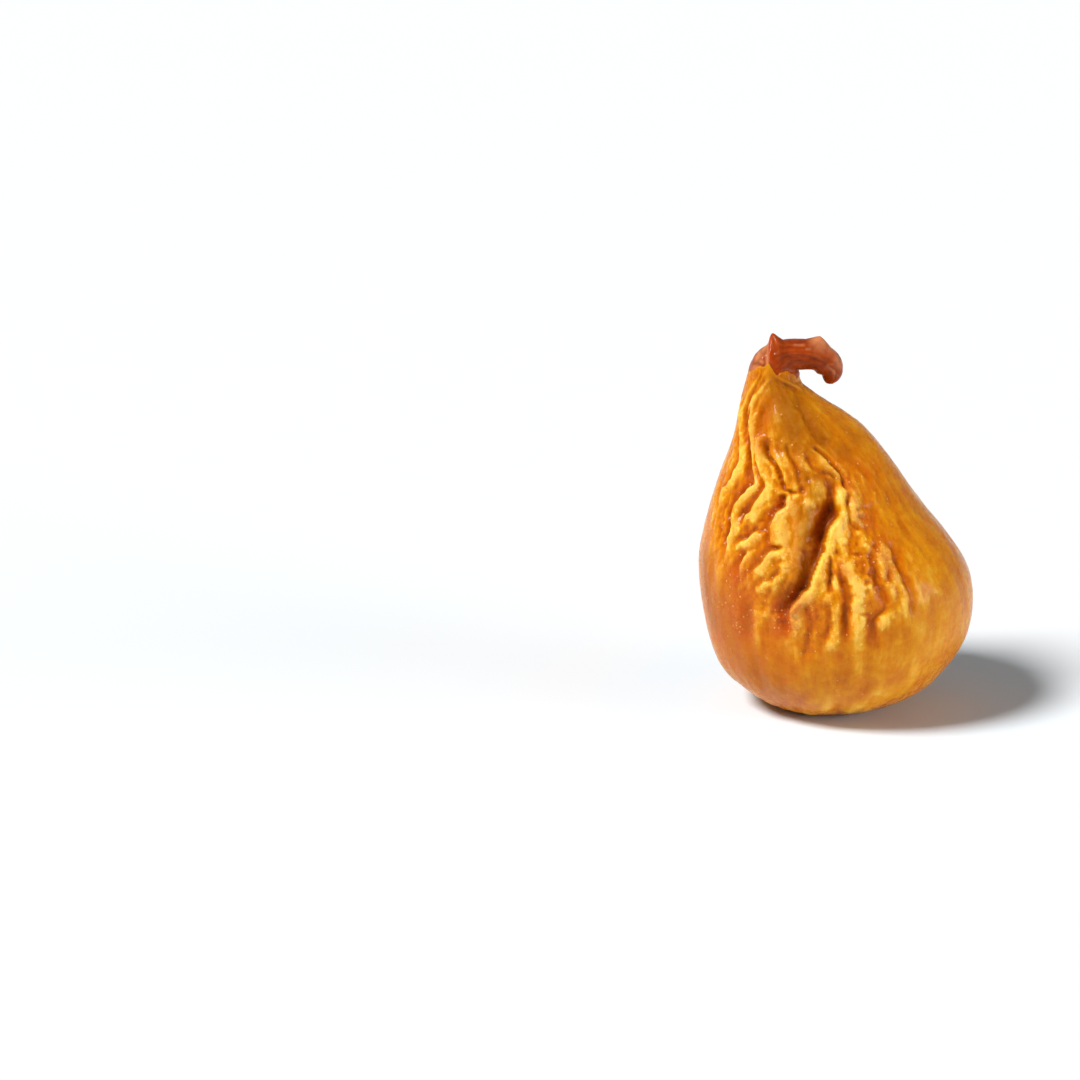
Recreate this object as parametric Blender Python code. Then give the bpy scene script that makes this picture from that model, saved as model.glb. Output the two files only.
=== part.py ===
"""A dried fig standing on its flattened blossom end, with the short hooked stem it was picked with.

The fruit grew as one body. It is lofted from horizontal sections: each station gives a height and how far the
outline reaches to the left and to the right at that height. Shrinkage folds then run down it from the neck.
The stem is a second piece: a thick stub that rises from the neck and bends over to the right.
Front is -Y, the stem leans to -X and bends back over to +X. Everything is in metres, the tables are in millimetres.
"""

import math

import bmesh
import bpy
import numpy as np

MM = 0.001

# ---- driving dimensions of the fruit, mm ----
FRUIT_STATIONS = (
    # height, reach to the left, reach to the right
    (0.0, -6.4, 4.6),
    (0.35, -8.2, 6.0),
    (1.3, -10.4, 8.0),
    (3.0, -12.7, 10.8),
    (5.5, -14.9, 13.3),
    (8.5, -16.3, 15.1),
    (12.0, -17.1, 16.0),
    (16.0, -17.6, 16.0),
    (19.5, -17.7, 14.8),
    (23.0, -17.2, 12.2),
    (26.5, -16.4, 9.2),
    (30.0, -15.3, 6.9),
    (33.0, -14.2, 4.8),
    (36.0, -13.4, 1.9),
    (38.5, -12.9, -1.6),
    (40.4, -12.4, -4.4),
    (41.5, -11.8, -5.6),
)
DEPTH_SHARE = 0.90  # front-to-back size as a share of the width
FOOT_DEPTH_SHARE = 0.84  # the same at the resting face
NECK_TILT = -0.17  # the neck's end slopes down towards the right
NECK_TILT_FROM = 36.0
AROUND = 84  # points round a section
RINGS = 40  # sections up the fruit
FRONT_FOLDS = (
    # paths of (x, height) down the front, then half-width and depth of the fold
    (((-0.6, 31.0), (-1.4, 27.5), (-2.4, 24.5), (-3.9, 20.5), (-6.0, 16.5)), 2.1, 1.5),
    (((-8.9, 38.5), (-8.7, 34.0), (-7.5, 30.0), (-7.0, 27.5)), 1.5, 0.9),
    (((-11.2, 38.0), (-11.8, 33.0), (-13.6, 28.5), (-14.0, 25.0)), 0.9, 0.7),
    (((-4.6, 38.6), (-2.4, 34.6), (-1.1, 31.8), (1.0, 29.6)), 1.0, 0.8),
    (((4.0, 22.5), (5.2, 18.5), (4.5, 14.6), (5.1, 10.0)), 1.0, 0.7),
    (((0.2, 22.0), (1.5, 17.8), (1.2, 12.0)), 1.1, 0.7),
    (((7.2, 21.5), (8.8, 17.5), (9.0, 14.0)), 1.0, 0.6),
    (((-8.4, 25.5), (-9.0, 18.0), (-8.9, 11.0)), 1.0, 0.6),
)
BACK_FOLDS = 11  # folds spread over the back, which is alike in kind but irregular
BACK_FOLD_DEPTH = 0.9
EYE_RADIUS = 1.7  # the closed eye at the blossom end, a dimple in the resting face
EYE_DEPTH = 0.8
EYE_AT = (-0.8, 2.6)

# ---- driving dimensions of the stem, mm ----
STEM_SPINE = (
    # x, height, half-thickness across the bend, half-thickness front to back
    (-9.05, 42.00, 2.95, 2.50),
    (-9.10, 42.90, 2.80, 2.40),
    (-8.80, 43.75, 2.40, 2.20),
    (-7.90, 44.35, 2.00, 2.00),
    (-6.40, 44.55, 1.80, 1.90),
    (-4.90, 44.40, 1.85, 1.85),
    (-3.40, 43.80, 1.90, 1.70),
    (-2.40, 42.90, 1.75, 1.50),
    (-2.10, 41.95, 1.25, 1.20),
    (-2.35, 41.15, 0.75, 0.80),
)
STEM_AROUND = 24
STEM_RINGS = 26
SPIKE_TIP = (-9.30, 47.20)  # the torn point left of the bend
SPIKE_BASE = (-8.65, 44.70)
SPIKE_RADIUS = 1.15
KNOB_AT = (-3.50, 46.00)  # the small knob on top of the bend
KNOB_RADIUS = 0.75
STEM_GAP = 0.30  # clearance between the stem's foot and the neck

FIG_COLOUR = (0.62, 0.27, 0.035, 1.0)
STEM_COLOUR = (0.28, 0.055, 0.012, 1.0)


def smooth(values, at):
    """Centripetal-like Catmull-Rom through the rows of values, read at the row numbers in at."""
    rows = np.asarray(values, float)
    last = len(rows) - 1
    k = np.clip(np.floor(at).astype(int), 0, last - 1)
    f = (at - k)[:, None]
    slope = np.empty_like(rows)
    slope[1:-1] = (rows[2:] - rows[:-2]) / 2
    slope[0] = rows[1] - rows[0]
    slope[-1] = rows[-1] - rows[-2]
    a, b, ta, tb = rows[k], rows[k + 1], slope[k], slope[k + 1]
    return (
        (2 * f**3 - 3 * f**2 + 1) * a
        + (f**3 - 2 * f**2 + f) * ta
        + (3 * f**2 - 2 * f**3) * b
        + (f**3 - f**2) * tb
    )


def fruit_sections():
    """Height, centre and half-width of each ring, spaced by the length of the outline."""
    fine = smooth(FRUIT_STATIONS, np.linspace(0, len(FRUIT_STATIONS) - 1, 800))
    run = np.hypot(np.diff(fine[:, 0]), np.diff(fine[:, 2] - fine[:, 1]) / 2)
    run = np.concatenate([[0], np.cumsum(run)])
    want = np.linspace(0, run[-1], RINGS)
    z, left, right = (np.interp(want, run, fine[:, i]) for i in range(3))
    z[0] = 0.0
    return z, (left + right) / 2, (right - left) / 2


def fold_depth(theta, z, centre, half):
    """How far the skin is pulled in at each point by the folds, in mm."""
    depth = np.zeros_like(theta)
    folds = []
    for path, width, deep in FRONT_FOLDS:
        points = np.array(path)
        heights = points[::-1, 1]
        mid = np.interp(heights, z[:, 0], centre[:, 0])
        reach = np.interp(heights, z[:, 0], half[:, 0])
        angle = -np.arccos(np.clip((points[::-1, 0] - mid) / reach, -1, 1))
        folds.append((heights, angle, width, deep))
    random = np.random.default_rng(7)
    for i in range(BACK_FOLDS):
        start = math.radians(12 + 156 * (i + 0.5) / BACK_FOLDS) + random.uniform(-0.06, 0.06)
        heights = np.array([random.uniform(7, 13), 20, 30, 38.5])
        angle = start + np.cumsum(random.uniform(-0.07, 0.07, 4))
        folds.append((heights, angle, random.uniform(0.9, 1.3), BACK_FOLD_DEPTH * random.uniform(0.6, 1.1)))
    for heights, angle, width, deep in folds:
        here = np.interp(z, heights, angle)
        turn = (theta - here + math.pi) % (2 * math.pi) - math.pi
        away = turn * half * 0.95
        fade = np.clip((z - heights[0]) / 4 + 0.5, 0, 1) * np.clip((heights[-1] - z) / 2.5 + 0.5, 0, 1)
        depth += deep * fade * np.exp(-((away / width) ** 2))
    return depth


def principled(name, colour, roughness):
    material = bpy.data.materials.new(name)
    material.use_nodes = True
    shader = material.node_tree.nodes["Principled BSDF"]
    shader.inputs["Base Color"].default_value = colour
    shader.inputs["Roughness"].default_value = roughness
    shader.inputs["Metallic"].default_value = 0.0
    material.diffuse_color = colour
    return material


def loft(name, rings):
    """A closed body from a stack of rings: bmesh extrudes the first ring upward once for each of the others."""
    bm = bmesh.new()
    first = bmesh.ops.create_circle(bm, cap_ends=False, segments=len(rings[0]), radius=1.0)["verts"]
    for vert, point in zip(first, rings[0]):
        vert.co = point
    edges = list(bm.edges)
    bmesh.ops.contextual_create(bm, geom=edges)
    order = list(first)
    for ring in rings[1:]:
        grown = bmesh.ops.extrude_edge_only(bm, edges=edges)["geom"]
        edges = [item for item in grown if isinstance(item, bmesh.types.BMEdge)]
        verts = {item for item in grown if isinstance(item, bmesh.types.BMVert)}
        following = []
        for vert in order:
            (above,) = [e.other_vert(vert) for e in vert.link_edges if e.other_vert(vert) in verts]
            following.append(above)
        order = following
        for vert, point in zip(order, ring):
            vert.co = point
    crown = bm.verts.new(sum((v.co for v in order), order[0].co * 0) / len(order))
    for i, vert in enumerate(order):
        bm.faces.new((vert, order[(i + 1) % len(order)], crown))
    bmesh.ops.recalc_face_normals(bm, faces=bm.faces)
    mesh = bpy.data.meshes.new(name)
    bm.to_mesh(mesh)
    bm.free()
    body = bpy.data.objects.new(name, mesh)
    bpy.context.collection.objects.link(body)
    mesh.shade_smooth()
    mesh.set_sharp_from_angle(angle=math.radians(50))
    return body


def boolean(body, other, operation):
    other.hide_render = True
    other.display_type = "WIRE"
    modifier = body.modifiers.new(operation.title(), "BOOLEAN")
    modifier.operation = operation
    modifier.solver = "EXACT"
    modifier.object = other
    return modifier


def make_fruit():
    z, centre, half = fruit_sections()
    theta = np.linspace(0, 2 * math.pi, AROUND, endpoint=False)
    theta_grid, z_grid = np.meshgrid(theta, z)
    centre_grid = np.repeat(centre[:, None], AROUND, 1)
    half_grid = np.repeat(half[:, None], AROUND, 1)
    # the sections aren't true ellipses: two and three broad lobes wander round with height
    lobes = 1 + 0.018 * np.cos(2 * theta_grid + 0.09 * z_grid + 0.6) + 0.012 * np.cos(3 * theta_grid - 0.12 * z_grid)
    lobes = np.where(np.abs(np.cos(theta_grid)) > 0.98, 1, lobes)
    fold = fold_depth(theta_grid, z_grid, centre_grid, half_grid)
    fold *= np.clip(z_grid / 6, 0, 1)
    x = centre_grid + (half_grid - fold) * np.cos(theta_grid)
    share = DEPTH_SHARE + (FOOT_DEPTH_SHARE - DEPTH_SHARE) * np.exp(-((z_grid / 2.0) ** 2))
    y = (half_grid * (1 + (lobes - 1) * np.abs(np.sin(theta_grid))) * share - fold) * np.sin(theta_grid)
    tilt = np.clip((z_grid - NECK_TILT_FROM) / (z.max() - NECK_TILT_FROM), 0, 1) ** 1.5
    height = z_grid + tilt * NECK_TILT * (x - centre_grid)
    rings = [[(x[i, j] * MM, y[i, j] * MM, height[i, j] * MM) for j in range(AROUND)] for i in range(RINGS)]
    fruit = loft("fig_body", rings)
    fruit.data.materials.append(principled("fig skin", FIG_COLOUR, 0.42))

    bm = bmesh.new()
    bmesh.ops.create_uvsphere(bm, u_segments=20, v_segments=14, radius=1.0)
    radius = (EYE_RADIUS**2 + EYE_DEPTH**2) / (2 * EYE_DEPTH)
    for vert in bm.verts:
        vert.co = (
            EYE_AT[0] * MM + vert.co.x * radius * MM,
            EYE_AT[1] * MM + vert.co.y * radius * MM,
            (EYE_DEPTH - radius) * MM + vert.co.z * radius * MM,
        )
    mesh = bpy.data.meshes.new("eye_cutter")
    bm.to_mesh(mesh)
    bm.free()
    cutter = bpy.data.objects.new("eye_cutter", mesh)
    bpy.context.collection.objects.link(cutter)
    boolean(fruit, cutter, "DIFFERENCE")
    return fruit, (centre[-1], z[-1])


def make_stem(neck):
    """The stub follows its spine; each ring stands square to it. The foot lies parallel to the neck's end."""
    rows = smooth(STEM_SPINE, np.linspace(0, len(STEM_SPINE) - 1, STEM_RINGS))
    along = np.gradient(rows[:, :2], axis=0)
    along /= np.linalg.norm(along, axis=1)[:, None]
    foot = np.array([-NECK_TILT, 1.0]) / math.hypot(NECK_TILT, 1)
    blend = np.clip(np.arange(STEM_RINGS) / 6, 0, 1)[:, None]
    along = foot * (1 - blend) + along * blend
    along /= np.linalg.norm(along, axis=1)[:, None]
    rings = []
    for i, ((x, z, across, deep), (tx, tz)) in enumerate(zip(rows, along)):
        if i == 0:
            z = neck[1] + STEM_GAP * math.hypot(NECK_TILT, 1) + NECK_TILT * (x - neck[0])
            tx, tz = foot
        ring = []
        for j in range(STEM_AROUND):
            turn = 2 * math.pi * j / STEM_AROUND
            ripple = 1 + 0.04 * math.cos(3 * turn + 0.4 * i)
            side = across * math.cos(turn) * ripple
            ring.append(((x + side * tz) * MM, deep * math.sin(turn) * ripple * MM, (z - side * tx) * MM))
        rings.append(ring)
    stem = loft("stem", rings)
    stem.data.materials.append(principled("fig stem", STEM_COLOUR, 0.5))

    lean = math.atan2(SPIKE_TIP[0] - SPIKE_BASE[0], SPIKE_TIP[1] - SPIKE_BASE[1])
    tall = math.hypot(SPIKE_TIP[0] - SPIKE_BASE[0], SPIKE_TIP[1] - SPIKE_BASE[1])
    for name, cone in (("spike_part", True), ("knob_part", False)):
        bm = bmesh.new()
        if cone:
            bmesh.ops.create_cone(
                bm, cap_ends=True, segments=14, radius1=SPIKE_RADIUS * MM, radius2=0.12 * MM, depth=tall * MM
            )
            place = (
                (SPIKE_TIP[0] + SPIKE_BASE[0]) / 2 * MM,
                -0.1 * MM,
                (SPIKE_TIP[1] + SPIKE_BASE[1]) / 2 * MM,
            )
        else:
            bmesh.ops.create_icosphere(bm, subdivisions=2, radius=KNOB_RADIUS * MM)
            place = (KNOB_AT[0] * MM, -0.2 * MM, KNOB_AT[1] * MM)
        mesh = bpy.data.meshes.new(name)
        bm.to_mesh(mesh)
        bm.free()
        part = bpy.data.objects.new(name, mesh)
        part.location = place
        part.rotation_euler = (0, lean if cone else 0, 0)
        bpy.context.collection.objects.link(part)
        boolean(stem, part, "UNION")
    return stem


def main():
    for item in list(bpy.data.objects):
        bpy.data.objects.remove(item, do_unlink=True)
    holder = bpy.data.objects.new("fig", None)
    bpy.context.collection.objects.link(holder)
    fruit, neck = make_fruit()
    stem = make_stem(neck)
    fruit.parent = holder
    stem.parent = holder


main()
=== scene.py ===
"""The looks of a dried fig that stands on its blossom end, with its short hooked stem.

Lengths are worked out in millimetres and turned into metres when a mesh is made.
The skin is a dense grid laid over the fruit's sections. Folds are sculpted on it along listed strokes, and finer
wrinkles come from wave fields that run down the fruit. The stem is swept along its bend and sculpted the same way.
"""

import math

import bpy
import numpy as np
from mathutils import Matrix, Vector
from mathutils.bvhtree import BVHTree


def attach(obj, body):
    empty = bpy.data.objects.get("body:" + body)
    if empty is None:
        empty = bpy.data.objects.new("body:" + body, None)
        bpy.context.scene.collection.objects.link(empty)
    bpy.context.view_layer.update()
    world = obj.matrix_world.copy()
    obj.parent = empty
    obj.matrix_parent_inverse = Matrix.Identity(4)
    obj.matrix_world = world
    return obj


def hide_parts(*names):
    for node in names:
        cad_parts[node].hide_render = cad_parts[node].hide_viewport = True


MM = 0.001
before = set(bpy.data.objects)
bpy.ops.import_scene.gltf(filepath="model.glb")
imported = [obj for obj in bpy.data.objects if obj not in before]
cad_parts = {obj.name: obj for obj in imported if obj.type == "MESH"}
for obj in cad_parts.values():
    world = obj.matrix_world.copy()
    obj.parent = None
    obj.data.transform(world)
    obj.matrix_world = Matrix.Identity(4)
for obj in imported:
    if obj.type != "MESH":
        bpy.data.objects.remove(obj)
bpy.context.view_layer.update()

# ------------------------------------------------------------------ camera
TILT = math.radians(17.0)
LENS, SENSOR = 100.0, 36.0
FOCAL = LENS / SENSOR * 1080  # pixels, for an image of 1080 x 1080
REACH = 375.0
FOOT_PX = (838.0, 702.0)  # where the frame's origin shows
RIGHT = np.array([1.0, 0.0, 0.0])
AHEAD = np.array([0.0, math.cos(TILT), -math.sin(TILT)])
UP = np.array([0.0, math.sin(TILT), math.cos(TILT)])
EYE = (
    -(FOOT_PX[0] - 540) / FOCAL * REACH * RIGHT
    - REACH * AHEAD
    + (FOOT_PX[1] - 540) / FOCAL * REACH * UP
)

camera_data = bpy.data.cameras.new("camera")
camera_data.lens = LENS
camera_data.sensor_width = SENSOR
camera_data.clip_start, camera_data.clip_end = 0.01, 20
camera = bpy.data.objects.new("camera", camera_data)
bpy.context.scene.collection.objects.link(camera)
axes = Matrix((RIGHT, UP, -AHEAD)).transposed().to_4x4()
camera.matrix_world = Matrix.Translation(Vector(EYE * MM)) @ axes
bpy.context.scene.camera = camera


# ------------------------------------------------------------------ small tools
def smoothstep(a, b, x):
    t = np.clip((x - a) / (b - a), 0, 1)
    return t * t * (3 - 2 * t)


def spline(rows, at):
    """Catmull-Rom through rows, read at the row numbers in at."""
    rows = np.asarray(rows, float)
    last = len(rows) - 1
    k = np.clip(np.floor(at).astype(int), 0, max(last - 1, 0))
    f = (at - k)[:, None]
    slope = np.empty_like(rows)
    slope[1:-1] = (rows[2:] - rows[:-2]) / 2
    slope[0] = rows[1] - rows[0]
    slope[-1] = rows[-1] - rows[-2]
    a, b, ta, tb = rows[k], rows[k + 1], slope[k], slope[k + 1]
    return (
        (2 * f**3 - 3 * f**2 + 1) * a
        + (f**3 - 2 * f**2 + f) * ta
        + (3 * f**2 - 2 * f**3) * b
        + (f**3 - f**2) * tb
    )


class Noise:
    """Gradient noise in three dimensions, about -1 to 1."""

    def __init__(self, seed):
        random = np.random.default_rng(seed)
        self.table = random.permutation(256)
        g = random.normal(size=(256, 3))
        self.gradients = g / np.linalg.norm(g, axis=1)[:, None]

    def __call__(self, points):
        shape = points.shape[:-1]
        p = points.reshape(-1, 3)
        cell = np.floor(p).astype(int)
        f = p - cell
        u = f**3 * (f * (f * 6 - 15) + 10)
        total = np.zeros(len(p))
        for dx in (0, 1):
            for dy in (0, 1):
                for dz in (0, 1):
                    c = (cell + (dx, dy, dz)) & 255
                    h = self.table[(self.table[(self.table[c[:, 0]] + c[:, 1]) & 255] + c[:, 2]) & 255]
                    away = f - (dx, dy, dz)
                    dot = (self.gradients[h] * away).sum(1)
                    w = (
                        (u[:, 0] if dx else 1 - u[:, 0])
                        * (u[:, 1] if dy else 1 - u[:, 1])
                        * (u[:, 2] if dz else 1 - u[:, 2])
                    )
                    total += w * dot
        return (total * 1.6).reshape(shape)


def grid_normals(points, wrap=True):
    along = np.gradient(points, axis=0)
    if wrap:
        padded = np.concatenate([points[:, -1:], points, points[:, :1]], 1)
        across = (padded[:, 2:] - padded[:, :-2]) / 2
    else:
        across = np.gradient(points, axis=1)
    normal = np.cross(across, along)
    return normal / np.maximum(np.linalg.norm(normal, axis=2), 1e-9)[..., None]


def blur(field, rows, columns):
    """Gaussian blur of a grid that wraps round in its columns."""
    out = field
    for axis, sigma in ((0, rows), (1, columns)):
        reach = int(3 * sigma) + 1
        kernel = np.exp(-0.5 * (np.arange(-reach, reach + 1) / sigma) ** 2)
        kernel /= kernel.sum()
        mode = "wrap" if axis == 1 else "edge"
        pad = [(0, 0), (0, 0)]
        pad[axis] = (reach, reach)
        wide = np.pad(out, pad, mode=mode)
        out = sum(
            k * np.take(wide, range(i, i + out.shape[axis]), axis=axis)
            for i, k in enumerate(kernel)
        )
    return out


def pixel_ray(x, y):
    d = AHEAD + (x - 540) / FOCAL * RIGHT - (y - 540) / FOCAL * UP
    return d / np.linalg.norm(d)


def bvh_of(points):
    rows, columns = points.shape[:2]
    flat = [tuple(p) for p in points.reshape(-1, 3)]
    faces = []
    for i in range(rows - 1):
        for j in range(columns):
            k = (j + 1) % columns
            faces.append((i * columns + j, i * columns + k, (i + 1) * columns + k, (i + 1) * columns + j))
    return BVHTree.FromPolygons(flat, faces)


def on_surface(tree, pixels, step=2.0):
    """Points on the surface under a smooth line through the given pixels."""
    pixels = np.array(pixels, float)
    if len(pixels) == 1:
        pixels = np.concatenate([pixels, pixels + (0.5, 0.5)])
    run = np.linalg.norm(np.diff(pixels, axis=0), axis=1).sum()
    count = max(int(run / step) + 1, 4)
    line = spline(pixels, np.linspace(0, len(pixels) - 1, count))
    found = []
    for x, y in line:
        hit = tree.ray_cast(Vector(EYE), Vector(pixel_ray(x, y)))[0]
        if hit is not None:
            found.append(tuple(hit))
    return np.array(found) if len(found) > 1 else None


def near(points, line, radius):
    """Which points lie within radius of a line of samples, their distance, their side and how far along they are."""
    lo, hi = line.min(0) - radius, line.max(0) + radius
    picked = np.flatnonzero(np.all((points > lo) & (points < hi), axis=1))
    if not len(picked):
        return picked, None, None
    run = np.concatenate([[0], np.cumsum(np.linalg.norm(np.diff(line, axis=0), axis=1))])
    best = np.full(len(picked), 1e9)
    where = np.zeros(len(picked))
    p = points[picked]
    for k in range(len(line) - 1):
        a, b = line[k], line[k + 1]
        ab = b - a
        t = np.clip(((p - a) @ ab) / max(ab @ ab, 1e-9), 0, 1)
        away = np.linalg.norm(p - (a + t[:, None] * ab), axis=1)
        closer = away < best
        best[closer] = away[closer]
        where[closer] = (run[k] + t * (run[k + 1] - run[k]))[closer]
    keep = best < radius
    return picked[keep], best[keep], (where[keep], run[-1])


def along_side(points, line, outward):
    """Positive on the right of a line that runs down, seen from outside."""
    best = np.full(len(points), 1e9)
    side = np.zeros(len(points))
    for k in range(len(line) - 1):
        a, b = line[k], line[k + 1]
        ab = b - a
        t = np.clip(((points - a) @ ab) / max(ab @ ab, 1e-9), 0, 1)
        off = points - (a + t[:, None] * ab)
        away = (off**2).sum(1)
        closer = away < best
        best[closer] = away[closer]
        side[closer] = (off * np.cross(outward, ab)).sum(1)[closer]
    return side


def stroke_field(points, outward, tree, strokes):
    """Height in mm from a list of strokes: (kind, half-width, height, pixels).

    r is a rounded ridge, g a groove, c a crack: narrow, with slightly raised lips, m a mound without a sharp crest.
    s is a fold that overlaps its neighbour: raised on one side, which is the right for a stroke drawn downwards,
    and sunk on the other, with its own half-width and depth. Strokes fade towards their ends.
    """
    height = np.zeros(len(points))
    for kind, width, amount, pixels, *low in strokes:
        line = on_surface(tree, pixels)
        if line is None:
            continue
        reach = 3.0 * max(width, low[0]) if kind == "s" else 3.2 * width
        picked, away, along = near(points, line, reach)
        if not len(picked):
            continue
        where, length = along
        fade_over = min(1.6 * width + 0.35, 0.45 * length + 0.05)
        fade = smoothstep(-0.3 * fade_over, fade_over, where) * smoothstep(-0.3 * fade_over, fade_over, length - where)
        q = away / width
        if kind == "r":
            shape = np.exp(-(q**1.8))
        elif kind == "m":
            shape = np.exp(-0.5 * (q * 1.2) ** 4)
        elif kind == "g":
            shape = -np.exp(-(q**1.45))
        elif kind == "s":
            side = along_side(points[picked], line, outward[picked])
            signed = away * np.sign(side)
            raised = smoothstep(-0.16, 0.16, signed)
            roll = 1 - np.exp(-((np.clip(signed + 0.14, 0, None) / 0.36) ** 1.3))
            high = 1.2 * roll * np.exp(-((np.clip(signed - 0.15, 0, None) / width) ** 1.6))
            sunk = np.exp(-((np.clip(-signed, 0, None) / low[0]) ** 1.25))
            height[picked] += fade * (raised * amount * high - (1 - raised) * low[1] * sunk)
            continue
        else:
            shape = -np.exp(-(q**1.35)) + 0.22 * np.exp(-(((q - 1.75) / 0.7) ** 2))
        height[picked] += amount * fade * shape
    return height


def paint_field(points, tree, strokes):
    """A mask from 0 to 1: the strongest of soft strokes (half-width, strength, pixels)."""
    mask = np.zeros(len(points))
    for width, strength, pixels in strokes:
        line = on_surface(tree, pixels)
        if line is None:
            continue
        picked, away, _ = near(points, line, 2.6 * width)
        if len(picked):
            mask[picked] = np.maximum(mask[picked], strength * np.exp(-((away / width) ** 2)))
    return mask


def waves(points, across, down, wavelength, seed, wander=0.25, stretch=3.0):
    """A field of wrinkles that run along down: cosine-like waves with branchings, and how strong they are at each point.

    Many short wave packets with their own direction and phase are added up on the grid, and the phase of the sum is
    the wrinkle pattern.
    """
    random = np.random.default_rng(seed)
    rows, columns = points.shape[:2]
    total = np.zeros((rows, columns), complex)
    step_down = np.linalg.norm(np.diff(points, axis=0), axis=2).mean(1)
    step_down = np.append(step_down, step_down[-1])
    ring = np.linalg.norm(np.roll(points, -1, axis=1) - points, axis=2)
    area = ring * step_down[:, None]
    wide, long = 1.25 * wavelength, stretch * wavelength
    count = int(area.sum() / (wide * long) * 5.0)
    chosen = random.choice(rows * columns, size=count, p=(area / area.sum()).ravel())
    tilt_field = Noise(seed + 1)(points / (wavelength * 4.0))
    for index in chosen:
        i, j = divmod(int(index), columns)
        centre = points[i, j]
        reach_rows = int(1.1 * long / max(step_down[i], 0.05)) + 1
        lo, hi = max(i - reach_rows, 0), min(i + reach_rows + 1, rows)
        local = ring[max(i - 2, 0) : i + 3, j].mean()
        reach_columns = min(int(1.3 * wide / max(local, 0.03)) + 1, columns // 2 - 1)
        cols = (np.arange(j - reach_columns, j + reach_columns + 1)) % columns
        patch = points[lo:hi][:, cols] - centre
        angle = random.normal(0, wander) + 0.7 * tilt_field[i, j]
        a, d = across[i, j], down[i, j]
        over = math.cos(angle) * a + math.sin(angle) * d
        run = -math.sin(angle) * a + math.cos(angle) * d
        u, v = patch @ over, patch @ run
        off = np.linalg.norm(patch, axis=2)
        weight = np.exp(-math.pi * ((u / wide) ** 2 + (v / long) ** 2) * 0.9)
        weight = np.where(off < 1.6 * long, weight, 0)
        total[lo:hi, cols] += weight * np.exp(1j * (2 * math.pi / wavelength * u + random.uniform(0, 2 * math.pi)))
    strength = np.abs(total)
    return np.angle(total), np.clip(strength / (np.median(strength) + 1e-9), 0, 1)


def mesh_object(name, points, wrap=True, close_start=True, close_end=True):
    """A mesh from a grid of points in mm, with its two ends drawn together."""
    rows, columns = points.shape[:2]
    flat = points.reshape(-1, 3)
    i, j = np.meshgrid(np.arange(rows - 1), np.arange(columns), indexing="ij")
    k = (j + 1) % columns
    quads = np.stack([i * columns + j, i * columns + k, (i + 1) * columns + k, (i + 1) * columns + j], -1).reshape(-1, 4)
    extra, triangles = [], []
    count = len(flat)
    ring = np.arange(columns)
    if close_start:
        extra.append(points[0].mean(0))
        triangles.append(np.stack([np.roll(ring, -1), ring, np.full(columns, count)], 1))
        count += 1
    if close_end:
        extra.append(points[-1].mean(0))
        base = (rows - 1) * columns
        triangles.append(np.stack([base + ring, base + np.roll(ring, -1), np.full(columns, count)], 1))
        count += 1
    vertices = np.concatenate([flat, np.array(extra).reshape(-1, 3)]) * MM
    triangles = np.concatenate(triangles) if triangles else np.zeros((0, 3), int)
    mesh = bpy.data.meshes.new(name)
    mesh.vertices.add(len(vertices))
    mesh.vertices.foreach_set("co", vertices.astype(np.float32).ravel())
    loops = np.concatenate([quads.ravel(), triangles.ravel()])
    mesh.loops.add(len(loops))
    mesh.loops.foreach_set("vertex_index", loops.astype(np.int32))
    starts = np.concatenate([np.arange(len(quads)) * 4, len(quads) * 4 + np.arange(len(triangles)) * 3])
    mesh.polygons.add(len(starts))
    mesh.polygons.foreach_set("loop_start", starts.astype(np.int32))
    mesh.update(calc_edges=True)
    mesh.validate()
    mesh.shade_smooth()
    thing = bpy.data.objects.new(name, mesh)
    bpy.context.scene.collection.objects.link(thing)
    return thing


def give(thing, name, values):
    """A number or a vector for each vertex, which the material reads."""
    mesh = thing.data
    values = np.asarray(values, np.float32)
    vector = values.ndim > 1 and values.shape[-1] == 3
    flat = values.reshape(-1, 3) if vector else values.ravel()
    missing = len(mesh.vertices) - len(flat)
    if missing:
        flat = np.concatenate([flat, np.repeat(flat[-1:], missing, 0)])
    made = mesh.attributes.new(name, "FLOAT_VECTOR" if vector else "FLOAT", "POINT")
    made.data.foreach_set("vector" if vector else "value", flat.ravel())


# ------------------------------------------------------------------ the fruit's sections
STATIONS = (
    # height, reach to the left, reach to the right
    (0.0, -6.4, 4.6),
    (0.35, -8.2, 6.0),
    (1.3, -10.4, 8.0),
    (3.0, -12.7, 10.8),
    (5.5, -14.9, 13.3),
    (8.5, -16.35, 15.25),
    (12.0, -17.2, 16.2),
    (16.0, -17.7, 16.25),
    (19.5, -17.8, 14.95),
    (23.0, -17.2, 12.2),
    (26.5, -16.4, 9.2),
    (30.0, -15.3, 6.9),
    (33.0, -14.2, 4.8),
    (36.0, -13.4, 1.9),
    (38.5, -12.9, -1.6),
    (40.4, -12.45, -4.3),
    (41.5, -12.15, -5.5),
)
DEPTH_SHARE, FOOT_DEPTH_SHARE = 0.90, 0.84
NECK_TILT, NECK_TILT_FROM = -0.17, 36.0
FOOT_ROWS, SIDE_ROWS, CUFF_ROWS, CAP_ROWS = 16, 228, 12, 4
COLUMNS = 368
EYE_AT = (-0.8, 2.6)
STALK_AT = (-9.05, 0.0)
CUFF = (
    # turn round the stalk in degrees, height of the skin's edge there
    (-180, 42.3),
    (-155, 42.9),
    (-134, 43.4),
    (-118, 43.8),
    (-108, 44.0),
    (-101, 43.4),
    (-93, 42.9),
    (-82, 42.7),
    (-67, 42.9),
    (-52, 43.1),
    (-32, 42.0),
    (-12, 42.2),
    (15, 42.3),
    (45, 42.3),
    (85, 42.3),
    (112, 42.6),
    (135, 43.0),
    (158, 42.5),
    (180, 42.3),
)

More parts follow.
